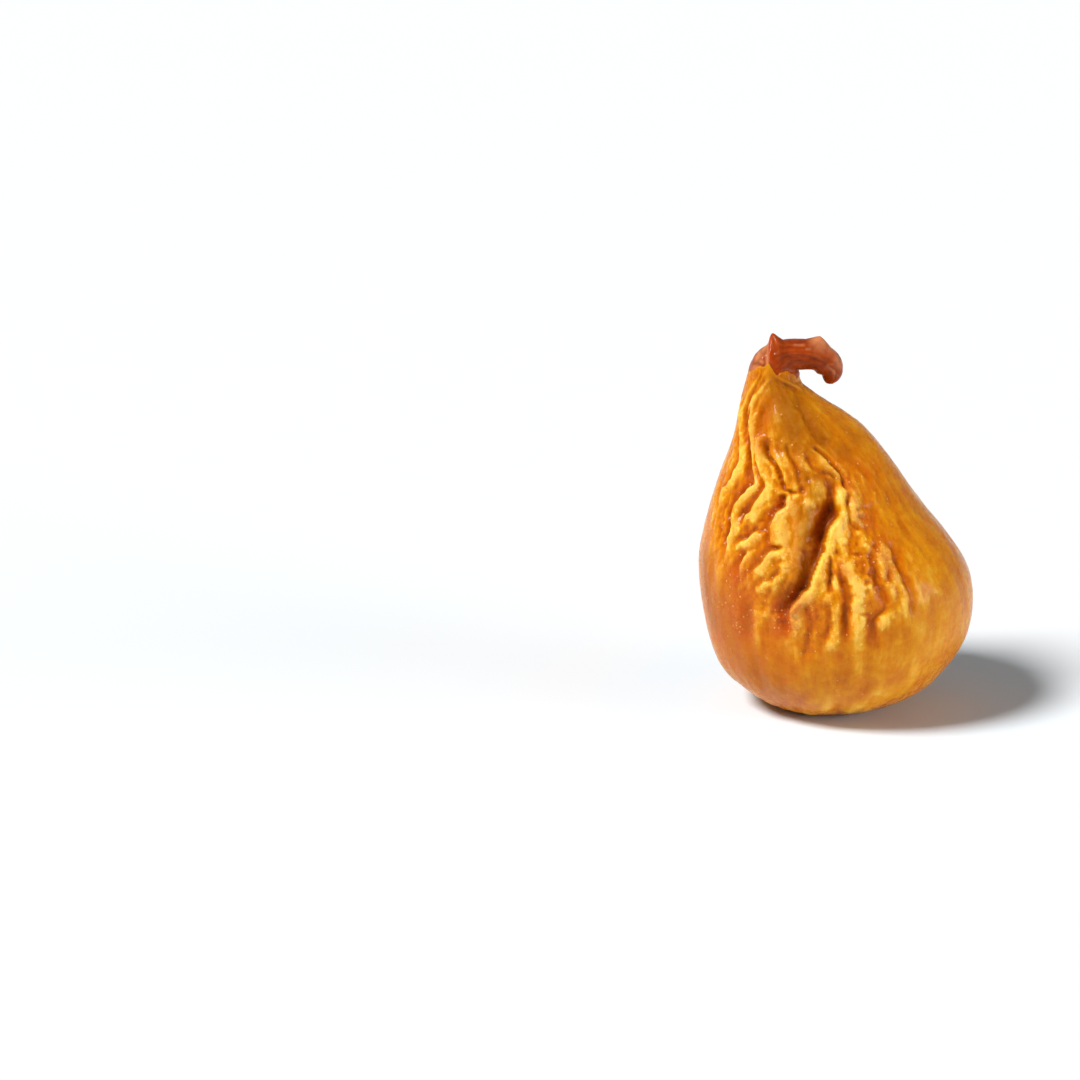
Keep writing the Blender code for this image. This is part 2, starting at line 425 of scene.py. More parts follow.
SPINE = (
    # x, height, half-thickness across the bend, half-thickness front to back
    (-8.95, 40.80, 2.20, 1.90),
    (-8.95, 41.60, 2.85, 2.40),
    (-9.00, 42.50, 3.02, 2.50),
    (-8.85, 43.40, 2.72, 2.30),
    (-8.15, 44.15, 2.15, 2.05),
    (-6.90, 44.60, 1.85, 1.95),
    (-5.60, 44.62, 1.80, 1.90),
    (-4.32, 44.52, 1.70, 1.85),
    (-3.12, 44.06, 1.68, 1.75),
    (-2.32, 43.18, 1.70, 1.60),
    (-2.02, 42.25, 1.34, 1.35),
    (-2.22, 41.50, 0.88, 1.00),
    (-2.30, 41.03, 0.42, 0.55),
)
STEM_ROWS, STEM_COLUMNS = 190, 150


def fruit_grid(side_rows, columns, foot_rows):
    """Points of the smooth fruit, row by row from the middle of its foot to the edge of its neck."""
    fine = spline(STATIONS, np.linspace(0, len(STATIONS) - 1, 1200))
    # the profile is evened out so that its bend changes slowly and a highlight on it has no hard edge
    kernel = np.exp(-0.5 * (np.arange(-90, 91) / 34.0) ** 2)
    for k in range(3):
        padded = np.pad(fine[:, k], 90, mode="reflect", reflect_type="odd")
        fine[:, k] = np.convolve(padded, kernel / kernel.sum(), mode="valid")
    run = np.hypot(np.diff(fine[:, 0]), np.diff(fine[:, 2] - fine[:, 1]) / 2)
    run = np.concatenate([[0], np.cumsum(run)])
    # rows stand closer together where the folds are
    busy = 1 + 0.35 * smoothstep(6, 9, fine[:, 0]) * smoothstep(38, 35, fine[:, 0])
    weight = np.concatenate([[0], np.cumsum((busy[1:] + busy[:-1]) / 2 * np.diff(run))])
    want = np.interp(np.linspace(0, weight[-1], side_rows), weight, run)
    z, left, right = (np.interp(want, run, fine[:, i]) for i in range(3))
    z[0] = 0
    centre, half = (left + right) / 2, (right - left) / 2
    shrink = np.linspace(0.04, 1, foot_rows, endpoint=False)
    z = np.concatenate([np.zeros(foot_rows), z])
    centre = np.concatenate([centre[0] * shrink + (1 - shrink) * EYE_AT[0], centre])
    half = np.concatenate([half[0] * shrink, half])
    shift = np.concatenate([(1 - shrink) * EYE_AT[1], np.zeros(side_rows)])
    even = np.linspace(0, 2 * math.pi, columns, endpoint=False)
    # columns stand closer together on the front than on the back
    theta = even + 0.42 * np.cos(even)
    theta_grid, z_grid = np.meshgrid(theta, z)
    centre_grid, half_grid = np.repeat(centre[:, None], columns, 1), np.repeat(half[:, None], columns, 1)
    lobes = 1 + 0.018 * np.cos(2 * theta_grid + 0.09 * z_grid + 0.6) + 0.012 * np.cos(3 * theta_grid - 0.12 * z_grid)
    share = DEPTH_SHARE + (FOOT_DEPTH_SHARE - DEPTH_SHARE) * np.exp(-((z_grid / 2.0) ** 2))
    x = centre_grid + half_grid * np.cos(theta_grid)
    y = half_grid * (1 + (lobes - 1) * np.abs(np.sin(theta_grid))) * share * np.sin(theta_grid) + shift[:, None]
    tilt = np.clip((z_grid - NECK_TILT_FROM) / (z.max() - NECK_TILT_FROM), 0, 1) ** 1.5
    height = z_grid + tilt * NECK_TILT * (x - centre_grid)
    return np.stack([x, y, height], -1), theta


def stem_grid(rows_count, columns):
    rows = spline(SPINE, np.linspace(0, len(SPINE) - 1, rows_count))
    along = np.gradient(rows[:, :2], axis=0)
    along /= np.linalg.norm(along, axis=1)[:, None]
    foot = np.array([-NECK_TILT, 1.0]) / math.hypot(NECK_TILT, 1)
    blend = np.clip(np.arange(rows_count) / (rows_count * 0.22), 0, 1)[:, None]
    along = foot * (1 - blend) + along * blend
    along /= np.linalg.norm(along, axis=1)[:, None]
    turn = np.linspace(0, 2 * math.pi, columns, endpoint=False)
    grid = np.empty((rows_count, columns, 3))
    for i, ((x, z, wide, thick), (tx, tz)) in enumerate(zip(rows, along)):
        t = i / (rows_count - 1)
        # a rounded-square section, as a dried stalk has
        power = 2.0 + 0.7 * math.sin(t * math.pi)
        c, s = np.cos(turn), np.sin(turn)
        radius = (np.abs(c) ** power + np.abs(s) ** power) ** (-1 / power)
        grid[i, :, 0] = x + wide * radius * c * tz
        grid[i, :, 1] = thick * radius * s
        grid[i, :, 2] = z - wide * radius * c * tx
    # on the inside of the bend the sections would run back over each other, so they only go on or up there
    inside = smoothstep(0.05, 0.45, np.cos(turn))[None, :]
    for k, share in ((0, 0.60), (2, 0.48)):
        last = int(rows_count * share)
        part = grid[:last, :, k]
        grid[:last, :, k] = part * (1 - inside) + np.maximum.accumulate(part, 0) * inside
    return np.stack([blur(grid[..., k], rows_count * 0.022, 0.6) for k in range(3)], -1)


stem_base = stem_grid(STEM_ROWS, STEM_COLUMNS)
stem_tree = bvh_of(stem_grid(90, 72))


def with_cuff(side):
    """Adds the skin's thin edge, which climbs round the stalk, and closes it inside."""
    columns = side.shape[1]
    edge = side[-1]
    spin = np.arctan2(edge[:, 1] - STALK_AT[1], edge[:, 0] - STALK_AT[0])
    turns, heights = np.array(CUFF).T
    rim = np.interp(np.degrees(spin), turns, heights, period=360)
    rim += 0.10 * np.cos(11 * spin + 0.7) + 0.07 * np.cos(19 * spin)

    def stalk_reach(j, z):
        start = Vector((STALK_AT[0], STALK_AT[1], float(z)))
        hit = stem_tree.ray_cast(start, Vector((math.cos(spin[j]), math.sin(spin[j]), 0)))[0]
        return min((hit - start).length, 3.15) if hit is not None else 2.7

    rows = []
    edge_reach = np.hypot(edge[:, 0] - STALK_AT[0], edge[:, 1] - STALK_AT[1])
    for k in range(1, CUFF_ROWS + 1):
        t = min(k / (CUFF_ROWS - 1), 1.0)
        z = edge[:, 2] * (1 - t) + rim * t
        reach = np.array([stalk_reach(j, z[j]) for j in range(columns)])
        hug = smoothstep(0, 0.75, np.full(columns, t))
        r = np.maximum(edge_reach * (1 - hug) + (reach + 0.12) * hug, reach + 0.10)
        if k == CUFF_ROWS:
            r = reach - 0.20
            z = rim + 0.05
        rows.append(np.stack([STALK_AT[0] + r * np.cos(spin), STALK_AT[1] + r * np.sin(spin), z], -1))
    last = rows[-1]
    middle = np.array([STALK_AT[0], STALK_AT[1], 41.2])
    caps = [last * (1 - s) + middle * s for s in np.linspace(0, 0.96, CAP_ROWS + 1)[1:]]
    return np.concatenate([side, np.array(rows), np.array(caps)])


side_grid, theta = fruit_grid(SIDE_ROWS, COLUMNS, FOOT_ROWS)
base = with_cuff(side_grid)
tree = bvh_of(base[:, ::2])
flat_base = base.reshape(-1, 3)
normals = grid_normals(base)
normals[:FOOT_ROWS] = (0, 0, -1)
across = np.roll(base, -1, 1) - np.roll(base, 1, 1)
across /= np.maximum(np.linalg.norm(across, axis=2), 1e-9)[..., None]
down = np.cross(normals, across)

# ------------------------------------------------------------------ the folds, as strokes on the front
FOLDS = (
    # --- long parallel folds from the stalk down the left, each overlapping the one before it
    ("s", 0.70, 0.16, ((766, 368), (760, 380), (753, 393), (748, 404), (744, 416)), 0.60, 0.16),
    ("s", 0.90, 0.35, ((741, 400), (739, 425), (738.5, 445), (738.5, 460), (736, 467), (733, 471), (731, 476), (728.5, 480), (726, 484), (722, 488), (719, 497), (717, 510)), 0.60, 0.35),
    ("s", 1.20, 0.50, ((752, 405), (749, 425), (750, 445), (750.6, 461), (751.3, 471), (752.8, 479), (753, 483.5), (749, 486.5), (746, 489), (744, 492), (740.5, 495), (737, 499.5), (734.5, 503), (732.5, 507), (731.3, 511), (730.6, 520), (730.8, 527), (729, 533), (727, 538), (726, 544), (724.6, 551)), 1.10, 0.70),
    ("s", 1.10, 0.50, ((756, 446), (756, 458), (758, 466), (760, 475), (763, 480), (764.6, 484), (764.4, 487.5), (762, 492), (759.5, 495), (758, 498), (755, 501), (752.8, 504.5), (751, 508), (749, 512), (745, 514), (743, 519), (742, 527)), 0.80, 0.60),
    ("r", 0.55, 0.22, ((742, 462), (738.5, 469), (735, 475), (732, 480))),
    ("r", 0.36, 0.18, ((744, 446), (745, 458), (746, 468))),
    ("r", 0.36, 0.16, ((759, 458), (762, 467), (765, 475), (767, 483))),
    ("g", 0.90, 0.40, ((766, 400), (762, 414), (760, 428), (762, 440))),
    ("g", 0.70, 0.46, ((765, 436), (766, 446), (767, 454))),
    ("r", 0.40, 0.20, ((771, 388), (767, 398), (763, 408))),
    # --- the dark crack in the neck and the pits it ends in
    ("c", 0.19, 0.90, ((765, 444), (766, 451), (769, 457.5), (772.3, 460.5), (775.4, 465), (777.5, 469), (779.5, 473.5), (781, 478), (782.3, 482), (783.3, 486), (783.4, 490))),
    ("r", 0.30, 0.30, ((783.5, 474), (785, 480), (786, 486))),
    ("c", 0.18, 0.50, ((784, 488.5), (788, 490.5), (792, 492.3), (796, 492.5), (800, 491.5))),
    ("m", 0.35, 0.35, ((784, 491.5), (784, 494))),
    ("c", 0.35, 0.60, ((783, 494), (781, 498), (781, 500))),
    ("g", 0.45, 0.60, ((783.5, 505.5), (780, 503), (778, 504))),
    # --- short bands right of the crack
    ("c", 0.22, 0.36, ((787, 445), (787.5, 452), (789.7, 457), (792.8, 462), (795, 466), (796.8, 470), (798, 476), (799, 482), (800.5, 486))),
    ("m", 0.80, 0.22, ((776, 452), (782, 462), (787, 474))),
    ("m", 0.70, 0.16, ((797, 452), (801, 462), (804, 474))),
    ("c", 0.22, 0.36, ((805, 452), (806.5, 457), (808.5, 461), (811, 465), (815, 468.5), (819.5, 471.5))),
    ("c", 0.19, 0.60, ((812, 446), (817, 449), (821, 451.5), (825, 454.5), (828.5, 458.5), (832, 463), (836, 467.5), (839, 470.5), (842, 474), (843, 478), (844.5, 483), (847, 488))),
    ("s", 0.70, 0.26, ((846, 485), (842, 476), (837, 470), (832, 465), (826, 458), (819, 452)), 0.50, 0.12),
    ("c", 0.19, 0.38, ((820, 472), (829, 473.5), (835, 476.5), (840, 479.5), (843, 482.5), (845.5, 486.5), (848, 490))),
    ("m", 0.90, 0.34, ((807, 488), (814, 486), (820, 490), (822, 496))),
    ("g", 0.40, 0.45, ((802.5, 485), (801.5, 490), (802, 495))),
    # --- the main crease: its right lip, its left lip and its floor
    ("g", 0.70, 0.40, ((828, 478), (831, 488), (832, 500))),
    ("s", 0.80, 0.50, ((834.5, 494), (836.5, 500), (838.5, 506), (840, 513), (837, 518), (833.5, 522), (830.5, 527), (828, 531.5), (826, 537), (824.5, 543), (824, 548), (823, 551.5), (821, 555.5), (818.5, 561), (816, 567), (813.3, 574), (810.5, 581), (808, 587.5), (805, 591), (801, 592.5), (799, 597), (795.5, 601), (792, 605), (789, 609), (786.8, 613), (786.3, 620)), 1.90, 1.45),
    ("r", 0.40, 0.16, ((823, 553), (818, 564), (813, 575), (809, 586))),
    ("s", 0.60, 0.26, ((785, 612), (786.5, 606), (789, 600), (792, 594), (795.5, 588), (797.5, 583), (799.5, 577), (801, 570), (801, 552), (804, 540)), 0.60, 0.30),
    ("g", 1.00, 0.78, ((833, 499), (830, 506), (825, 518), (821.5, 532), (819, 546))),
    ("r", 0.45, 0.26, ((804, 551), (808, 548), (811, 545))),
    # --- the block left of the crease
    ("s", 1.30, 0.60, ((790, 494.5), (786.5, 496.5), (784.5, 501), (784.5, 506), (780, 509), (776, 512.5), (773, 517), (770.8, 522), (769.6, 529), (769.1, 537), (768.6, 546)), 0.50, 0.70),
    ("m", 1.50, 0.30, ((789, 505), (787, 525), (788, 550), (790, 575))),
    ("c", 0.24, 0.45, ((769, 548), (773, 547.8), (778, 548.2), (782, 546.5), (785.5, 549.5))),
    ("r", 0.30, 0.22, ((786.5, 523), (785, 530), (784.5, 540), (784, 547))),
    ("g", 0.35, 0.18, ((790, 510), (790, 540), (790, 560))),
    ("r", 0.45, 0.24, ((807, 500), (807, 506), (807.5, 513), (806, 525), (803, 537))),
    ("r", 0.30, 0.14, ((795.5, 538), (796, 548), (795.5, 556))),
    # --- puffed folds further left and below
    ("s", 0.80, 0.50, ((764, 528.5), (760.5, 532), (757, 531.8), (753.5, 532), (750.5, 535), (747.5, 538), (744, 539.5), (740.5, 540.2), (738, 543), (736, 546.5), (734.8, 551)), 0.70, 0.42),
    ("s", 0.60, 0.40, ((750.5, 549.8), (747.3, 551), (745, 555), (742, 558.5), (740, 563), (738.5, 569), (738, 576)), 0.60, 0.36),
    ("s", 0.80, 0.52, ((779, 550.3), (771.5, 550.8), (767, 554), (764, 557.5), (762, 561.5), (759, 565), (756, 568), (752.5, 572)), 0.70, 0.55),
    ("s", 0.45, 0.32, ((789, 562), (785, 564.5), (780, 562.5), (776, 564.5), (775, 569)), 0.40, 0.28),
    ("s", 0.50, 0.36, ((780, 573), (776, 575.5), (773, 578.5), (770.5, 582)), 0.50, 0.34),
    ("s", 0.55, 0.42, ((770.5, 582.5), (766, 581.5), (762, 582.3), (760, 585), (757, 588), (754.5, 589.8)), 0.50, 0.36),
    ("s", 0.50, 0.22, ((769.5, 595), (767, 600), (765.5, 606), (763, 611.5), (758, 615)), 0.50, 0.18),
    ("r", 0.26, 0.16, ((747, 545.5), (751, 544.5), (755, 543.5))),
    ("r", 0.26, 0.20, ((779, 551), (783, 552), (785, 556))),
    ("g", 0.32, 0.16, ((720.5, 517), (719.5, 527), (718.5, 535))),
    ("g", 0.40, 0.22, ((729, 525), (728, 531), (725, 537), (724, 545))),
    ("r", 0.50, 0.18, ((715, 503), (714, 512), (712, 523))),
    ("g", 0.60, 0.16, ((715, 548), (712, 565), (711, 585))),
    ("r", 0.80, 0.14, ((722, 560), (719, 580), (718, 600))),
    ("g", 0.80, 0.18, ((750, 596), (747, 612), (746, 640))),
    ("r", 0.60, 0.14, ((758, 600), (756, 620), (757, 645))),
    ("g", 0.45, 0.16, ((768, 616), (768, 628), (766, 640))),
    # --- below the crease
    ("g", 0.45, 0.60, ((787, 608), (785.5, 614), (784.8, 621), (785, 628), (785.5, 634))),
    ("m", 0.80, 0.26, ((797, 602), (793, 609), (790.5, 618))),
    ("g", 0.40, 0.42, ((806, 603), (807, 612), (808, 625), (808.2, 637), (807.5, 646), (805.5, 653), (803, 659))),
    ("r", 0.32, 0.22, ((802.5, 611), (804, 619), (804.8, 628), (804, 636))),
    ("r", 0.34, 0.18, ((815, 604), (812, 613), (811.5, 622))),
    ("r", 0.28, 0.16, ((812, 632), (812, 643), (809, 652))),
    ("g", 0.32, 0.16, ((818, 604), (818, 618), (817, 634))),
    ("m", 0.60, 0.12, ((785, 641), (789, 645))),
    # --- the fold right of the crease, and the ones beside it
    ("c", 0.24, 0.62, ((824, 546.5), (827, 552), (829, 557), (831, 562), (831.3, 570), (830.8, 577), (829, 583), (828.8, 589))),
    ("c", 0.26, 0.50, ((835.5, 521), (835.3, 530), (836, 540), (836.3, 550), (838, 557.5))),
    ("r", 0.45, 0.36, ((836, 519), (834, 525), (832, 531), (829, 538))),
    ("r", 0.50, 0.36, ((838, 521), (838, 531), (839, 541), (840, 552))),
    ("r", 0.20, 0.20, ((840, 540.5), (845, 541.5))),
    ("r", 0.20, 0.22, ((840.5, 548.5), (845, 548.3))),
    ("c", 0.20, 0.22, ((839.5, 544.5), (846, 545))),
    ("r", 0.45, 0.48, ((844, 487), (843, 493), (841, 499), (838.5, 503))),
    ("s", 0.80, 0.40, ((848, 488), (850, 493), (850, 503), (850.2, 511), (851.3, 517), (853.5, 523), (857, 527), (861, 526.5)), 0.60, 0.42),
    ("r", 0.24, 0.26, ((852.5, 507.5), (856, 505.5), (859, 503.5))),
    ("c", 0.20, 0.22, ((854.5, 509.5), (859, 509))),
    ("r", 0.24, 0.22, ((856, 514), (860, 512.8), (864, 513.5))),
    ("c", 0.20, 0.22, ((855, 517.3), (860, 517))),
    ("r", 0.30, 0.26, ((859, 529), (859, 534))),
    ("s", 0.90, 0.18, ((856, 529), (857, 536), (857.5, 545), (857, 551)), 0.50, 0.16),
    ("c", 0.22, 0.32, ((850, 551), (855, 554), (862, 554.3))),
    ("s", 0.55, 0.50, ((834.5, 559.8), (832.5, 563), (832, 568), (832.8, 573), (832, 578), (832.5, 585), (835, 590), (837.5, 597)), 0.50, 0.40),
    # --- the corrugated fold
    ("s", 0.90, 0.50, ((841, 563), (842, 570), (844.5, 576), (848, 582), (851.3, 586.5), (852, 593), (852, 600), (851, 608), (850, 615), (850.3, 622), (851, 630), (850.2, 637), (850.5, 643)), 1.00, 0.62),
    ("r", 0.26, 0.28, ((843, 566), (846, 568), (850, 566.5), (853, 565))),
    ("r", 0.30, 0.32, ((845.5, 573.5), (849, 578), (852, 583.5), (854, 588))),
    ("r", 0.24, 0.20, ((855, 576.5), (858, 576), (861, 577))),
    ("r", 0.42, 0.36, ((853.5, 590), (856, 587), (859, 584.5), (861, 581.5))),
    ("m", 0.55, 0.28, ((855, 590), (858, 590.5))),
    ("m", 0.55, 0.36, ((866, 585), (868.5, 589))),
    ("r", 0.30, 0.32, ((866, 557.5), (868.5, 562), (869.5, 567), (871, 572))),
    ("r", 0.30, 0.28, ((865.5, 574), (868, 577.5), (871, 580.5))),
    ("c", 0.20, 0.26, ((868, 571.5), (869.5, 576))),
    ("r", 0.35, 0.32, ((854, 597), (855, 602), (856, 606))),
    ("r", 0.28, 0.26, ((856, 601.5), (860, 600.5), (865, 599))),
    ("r", 0.30, 0.22, ((852.8, 607.5), (857, 608.5))),
    ("c", 0.22, 0.30, ((855, 611), (861, 614.8), (869, 616))),
    ("r", 0.28, 0.22, ((852.5, 620), (854, 625))),
    ("r", 0.28, 0.22, ((853, 629), (857, 627), (861, 628))),
    # --- folds in the middle, low
    ("s", 0.50, 0.42, ((828, 590.5), (825.5, 594), (823.5, 599)), 0.40, 0.30),
    ("r", 0.35, 0.28, ((829.5, 598), (828.5, 603))),
    ("s", 0.60, 0.32, ((831, 600), (831, 607), (831.5, 614), (831.5, 621), (832, 628), (830, 633), (827, 637), (824.5, 641)), 0.60, 0.40),
    ("s", 0.90, 0.32, ((836, 633), (833, 637), (829, 640), (827, 643.5), (825, 647.5), (822.5, 651.5)), 0.60, 0.22),
    ("g", 0.60, 0.20, ((846, 604), (846, 618), (847, 632))),
    # --- folds on the right of the middle
    ("s", 0.80, 0.32, ((872, 558), (875, 566), (878, 573), (880.5, 580), (883, 586), (886, 592), (888.5, 598), (889.5, 603)), 0.70, 0.52),
    ("s", 0.50, 0.42, ((877.3, 548.5), (876.3, 554), (876.8, 560), (878.5, 567), (880, 572), (881, 578)), 0.60, 0.34),
    ("r", 0.22, 0.26, ((887, 585.2), (890, 584.2), (893, 586.3))),
    ("r", 0.22, 0.18, ((899, 588), (902, 587.3), (905, 588.5))),
    ("s", 0.80, 0.30, ((911.5, 620), (910.5, 611), (910, 602), (909, 594), (906.5, 587), (903.5, 580.5), (900, 574), (896.5, 567), (894, 560), (891.5, 552), (888, 547), (884.5, 541)), 0.70, 0.46),
    ("c", 0.24, 0.30, ((893, 556), (896, 563), (899, 569))),
    ("s", 1.20, 0.50, ((887.5, 608), (886.5, 611.5), (884, 614.5), (881, 616.5), (878.8, 619), (877.8, 623), (877.8, 628), (878.8, 634)), 0.70, 0.50),
    ("g", 0.50, 0.26, ((872, 614), (874, 624), (873, 634), (875, 643), (878, 652))),
    # --- upper right of the middle
    ("g", 0.34, 0.16, ((871.5, 500), (871.5, 507), (872, 515))),
    ("r", 0.30, 0.16, ((874, 489), (874.5, 497), (875, 505))),
    ("r", 0.34, 0.10, ((867, 493), (868, 500), (870, 508), (870, 518))),
    ("r", 0.30, 0.12, ((854, 453), (862, 461), (868, 466), (877, 475))),
    ("r", 0.30, 0.13, ((855, 468), (859, 473), (863, 479), (865, 485))),
    ("r", 0.34, 0.10, ((884, 470), (887, 478), (888, 485))),
    ("g", 0.40, 0.12, ((887, 495), (890, 500), (893, 507), (897, 512))),
    ("g", 0.32, 0.26, ((873, 543), (875, 546), (877, 549))),
    ("g", 0.36, 0.20, ((921, 543), (924, 548), (927, 550))),
    # --- the smooth, darker planes of the upper neck
    ("g", 0.80, 0.46, ((797, 396), (804, 413), (810, 424), (816, 433), (824, 440), (833, 445))),
    ("m", 2.00, 0.14, ((786, 402), (790, 418), (796, 432))),
    ("g", 1.60, 0.16, ((838, 450), (852, 458), (866, 470), (874, 482))),
    ("r", 0.50, 0.12, ((775, 396), (776, 412), (779, 428))),
    ("r", 0.40, 0.22, ((766, 384), (757, 396), (751, 410), (747, 430), (745, 452))),
    ("r", 0.34, 0.16, ((771, 383), (763, 396), (757, 410), (754, 428))),
    ("g", 0.30, 0.16, ((769, 383), (760, 397), (754, 412), (751, 430))),
    ("r", 0.40, 0.16, ((757, 380), (749, 394), (744, 408), (741, 424))),
    ("g", 0.26, 0.14, ((759, 384), (751, 397), (746, 410), (743, 424))),
    # --- the rim of skin below the stem
    ("r", 0.24, 0.22, ((773, 374), (780, 379), (790, 384), (803, 391))),
    ("g", 0.22, 0.20, ((772, 378), (781, 383), (790, 388), (799, 392))),
    ("r", 0.24, 0.16, ((771, 377), (765, 386), (759, 398))),
    ("g", 0.24, 0.18, ((767, 376), (760, 386), (754, 398))),
    ("r", 0.22, 0.14, ((762, 372), (757, 380), (752, 390))),
    # --- low, wide dents and streaks on the lower half
    ("g", 0.50, 0.12, ((848, 660), (845, 667), (843, 677), (842, 690))),
    ("g", 0.80, 0.12, ((758, 655), (758, 672), (762, 688))),
    ("g", 0.55, 0.09, ((893, 632), (895, 650), (894, 670))),
    ("g", 0.60, 0.08, ((905, 640), (905, 660), (902, 682))),
    ("g", 0.70, 0.09, ((935, 590), (937, 615), (934, 645))),
    ("g", 0.60, 0.10, ((868, 650), (867, 668), (866, 690))),
    ("g", 0.70, 0.10, ((785, 648), (782, 664), (781, 686))),
    ("g", 0.60, 0.08, ((820, 655), (820, 676), (821, 698))),
    ("g", 0.45, 0.18, ((836, 702), (838, 708), (840, 714))),
    ("g", 0.60, 0.14, ((800, 696), (799, 704), (798, 712))),
)

BLUSH = (
    (2.6, 0.85, ((736, 578), (738, 600), (737, 628))),
    (1.6, 0.50, ((722, 585), (720, 610), (722, 632))),
    (1.5, 0.95, ((776, 608), (778, 618), (780, 629))),
    (1.2, 0.80, ((796, 604), (792, 616), (792, 628))),
    (0.7, 0.75, ((813, 602), (813, 615))),
    (1.1, 0.65, ((880, 545), (886, 560), (891, 576))),
    (1.2, 0.50, ((858, 506), (862, 516), (868, 522))),
    (0.9, 0.55, ((848, 476), (851, 486), (855, 498))),
    (0.6, 0.80, ((780, 500), (775, 508), (773, 514))),
    (1.1, 0.35, ((840, 566), (846, 578))),
    (1.2, 0.30, ((740, 566), (745, 575))),
    (0.9, 0.40, ((832, 652), (846, 660))),
    (0.6, 0.35, ((911, 486), (905, 492))),
    (0.8, 0.35, ((802, 456), (800, 466))),
    (0.7, 0.50, ((823, 474), (826, 480))),
)
BUMPY = (
    (0.9, 1.00, ((799, 600), (793, 608), (790, 618), (792, 629))),
    (0.5, 0.90, ((822, 556), (816, 570), (811, 584), (807, 596))),
    (0.6, 0.90, ((815, 602), (813, 612), (812, 622))),
    (0.5, 0.80, ((829, 600), (831, 614), (831, 628), (828, 640))),
    (0.5, 0.70, ((812, 634), (810, 648), (806, 658))),
    (1.2, 0.70, ((857, 568), (860, 584), (861, 600))),
    (0.8, 0.60, ((854, 606), (856, 622), (855, 636))),
    (1.1, 0.60, ((878, 545), (885, 560), (892, 578))),
    (0.9, 1.00, ((776, 611), (777, 620), (779, 628))),
    (0.8, 1.00, ((780, 498), (775, 506), (772, 514))),
    (1.8, 0.80, ((736, 580), (738, 600), (737, 625))),
    (0.8, 0.70, ((768, 554), (762, 564), (756, 571))),
    (0.7, 0.70, ((784, 553), (780, 562), (777, 570))),
    (0.6, 0.80, ((776, 578), (768, 583), (759, 587))),
    (0.8, 0.60, ((756, 535), (746, 541), (738, 549))),
    (0.9, 0.60, ((776, 516), (774, 530), (776, 544))),
    (0.6, 0.70, ((806, 455), (810, 464), (818, 470))),
    (0.5, 0.80, ((829, 459), (835, 464), (842, 471), (846, 480))),
    (0.9, 0.60, ((848, 478), (853, 484), (856, 494))),
    (0.8, 0.50, ((854, 505), (858, 516))),
    (0.9, 0.70, ((841, 538), (842, 550), (843, 558))),
    (0.6, 0.70, ((855, 526), (861, 530), (868, 529))),
    (0.5, 0.60, ((889, 606), (893, 612))),
    (0.9, 0.60, ((796, 428), (792, 440), (800, 450))),
    (1.2, 0.40, ((786, 498), (790, 500))),
    (0.6, 0.60, ((842, 490), (840, 501))),
    (0.7, 0.50, ((870, 558), (871, 574), (870, 582))),
)
# painted shade: deeper orange on the shaded sides of folds and in grooves, and a painted shadow over the lower left
SHADE_STROKES = (
    (3.6, 0.90, ((708, 596), (716, 634), (734, 666))),
    (2.6, 0.80, ((742, 672), (762, 690), (785, 702))),
    (0.9, 0.80, ((795, 505), (796, 530), (795, 552), (794, 570))),
    (0.6, 0.60, ((786, 525), (787, 545))),
    (2.8, 0.85, ((732, 606), (740, 640), (756, 668), (776, 690))),
    (2.4, 0.60, ((776, 640), (780, 664), (790, 690))),
    (1.3, 0.60, ((708, 520), (706, 545), (708, 570))),
    (0.8, 0.50, ((720, 500), (718, 520), (716, 540))),
    (1.2, 0.90, ((768, 400), (763, 416), (760, 434), (762, 446))),
    (0.7, 0.90, ((750, 470), (747, 479), (741, 488), (736, 496), (732, 503))),
    (0.4, 0.80, ((737, 458), (734, 465), (729, 474))),
    (0.5, 0.80, ((762, 482), (761, 490), (756, 497), (750, 507))),
    (0.9, 0.45, ((789, 468), (790, 476))),
    (1.9, 0.90, ((840, 455), (853, 460), (868, 470), (874, 478))),
    (1.2, 0.60, ((868, 480), (870, 496), (872, 516))),
    (1.1, 0.70, ((860, 518), (872, 524), (888, 530))),
    (0.7, 0.90, ((769, 515), (768, 532), (766, 548), (760, 560))),
    (1.0, 0.60, ((765, 520), (763, 535))),
    (0.7, 0.70, ((792, 516), (793, 530))),
    (0.6, 0.60, ((790, 548), (791, 560))),
    (0.8, 0.60, ((806, 606), (808, 630), (807, 652), (803, 662))),
    (0.7, 0.85, ((847, 598), (847, 612), (847, 626), (846, 634))),
    (0.6, 0.60, ((842, 568), (844, 576))),
    (0.7, 0.75, ((861, 560), (864, 568))),
    (0.7, 0.75, ((884, 592), (886, 604))),
    (0.7, 0.75, ((876, 614), (874, 628), (873, 640))),
    (0.6, 0.75, ((904, 578), (909, 590), (911, 604))),
    (0.9, 0.55, ((824, 604), (826, 616), (826, 632))),
    (1.1, 0.40, ((892, 540), (897, 550), (903, 566))),
    (1.0, 0.55, ((752, 562), (757, 552), (758, 545))),
    (1.0, 0.40, ((796, 600), (786, 592), (778, 600))),
    (0.9, 0.45, ((800, 640), (802, 655))),
    (0.5, 0.60, ((828, 592), (829, 580))),
)
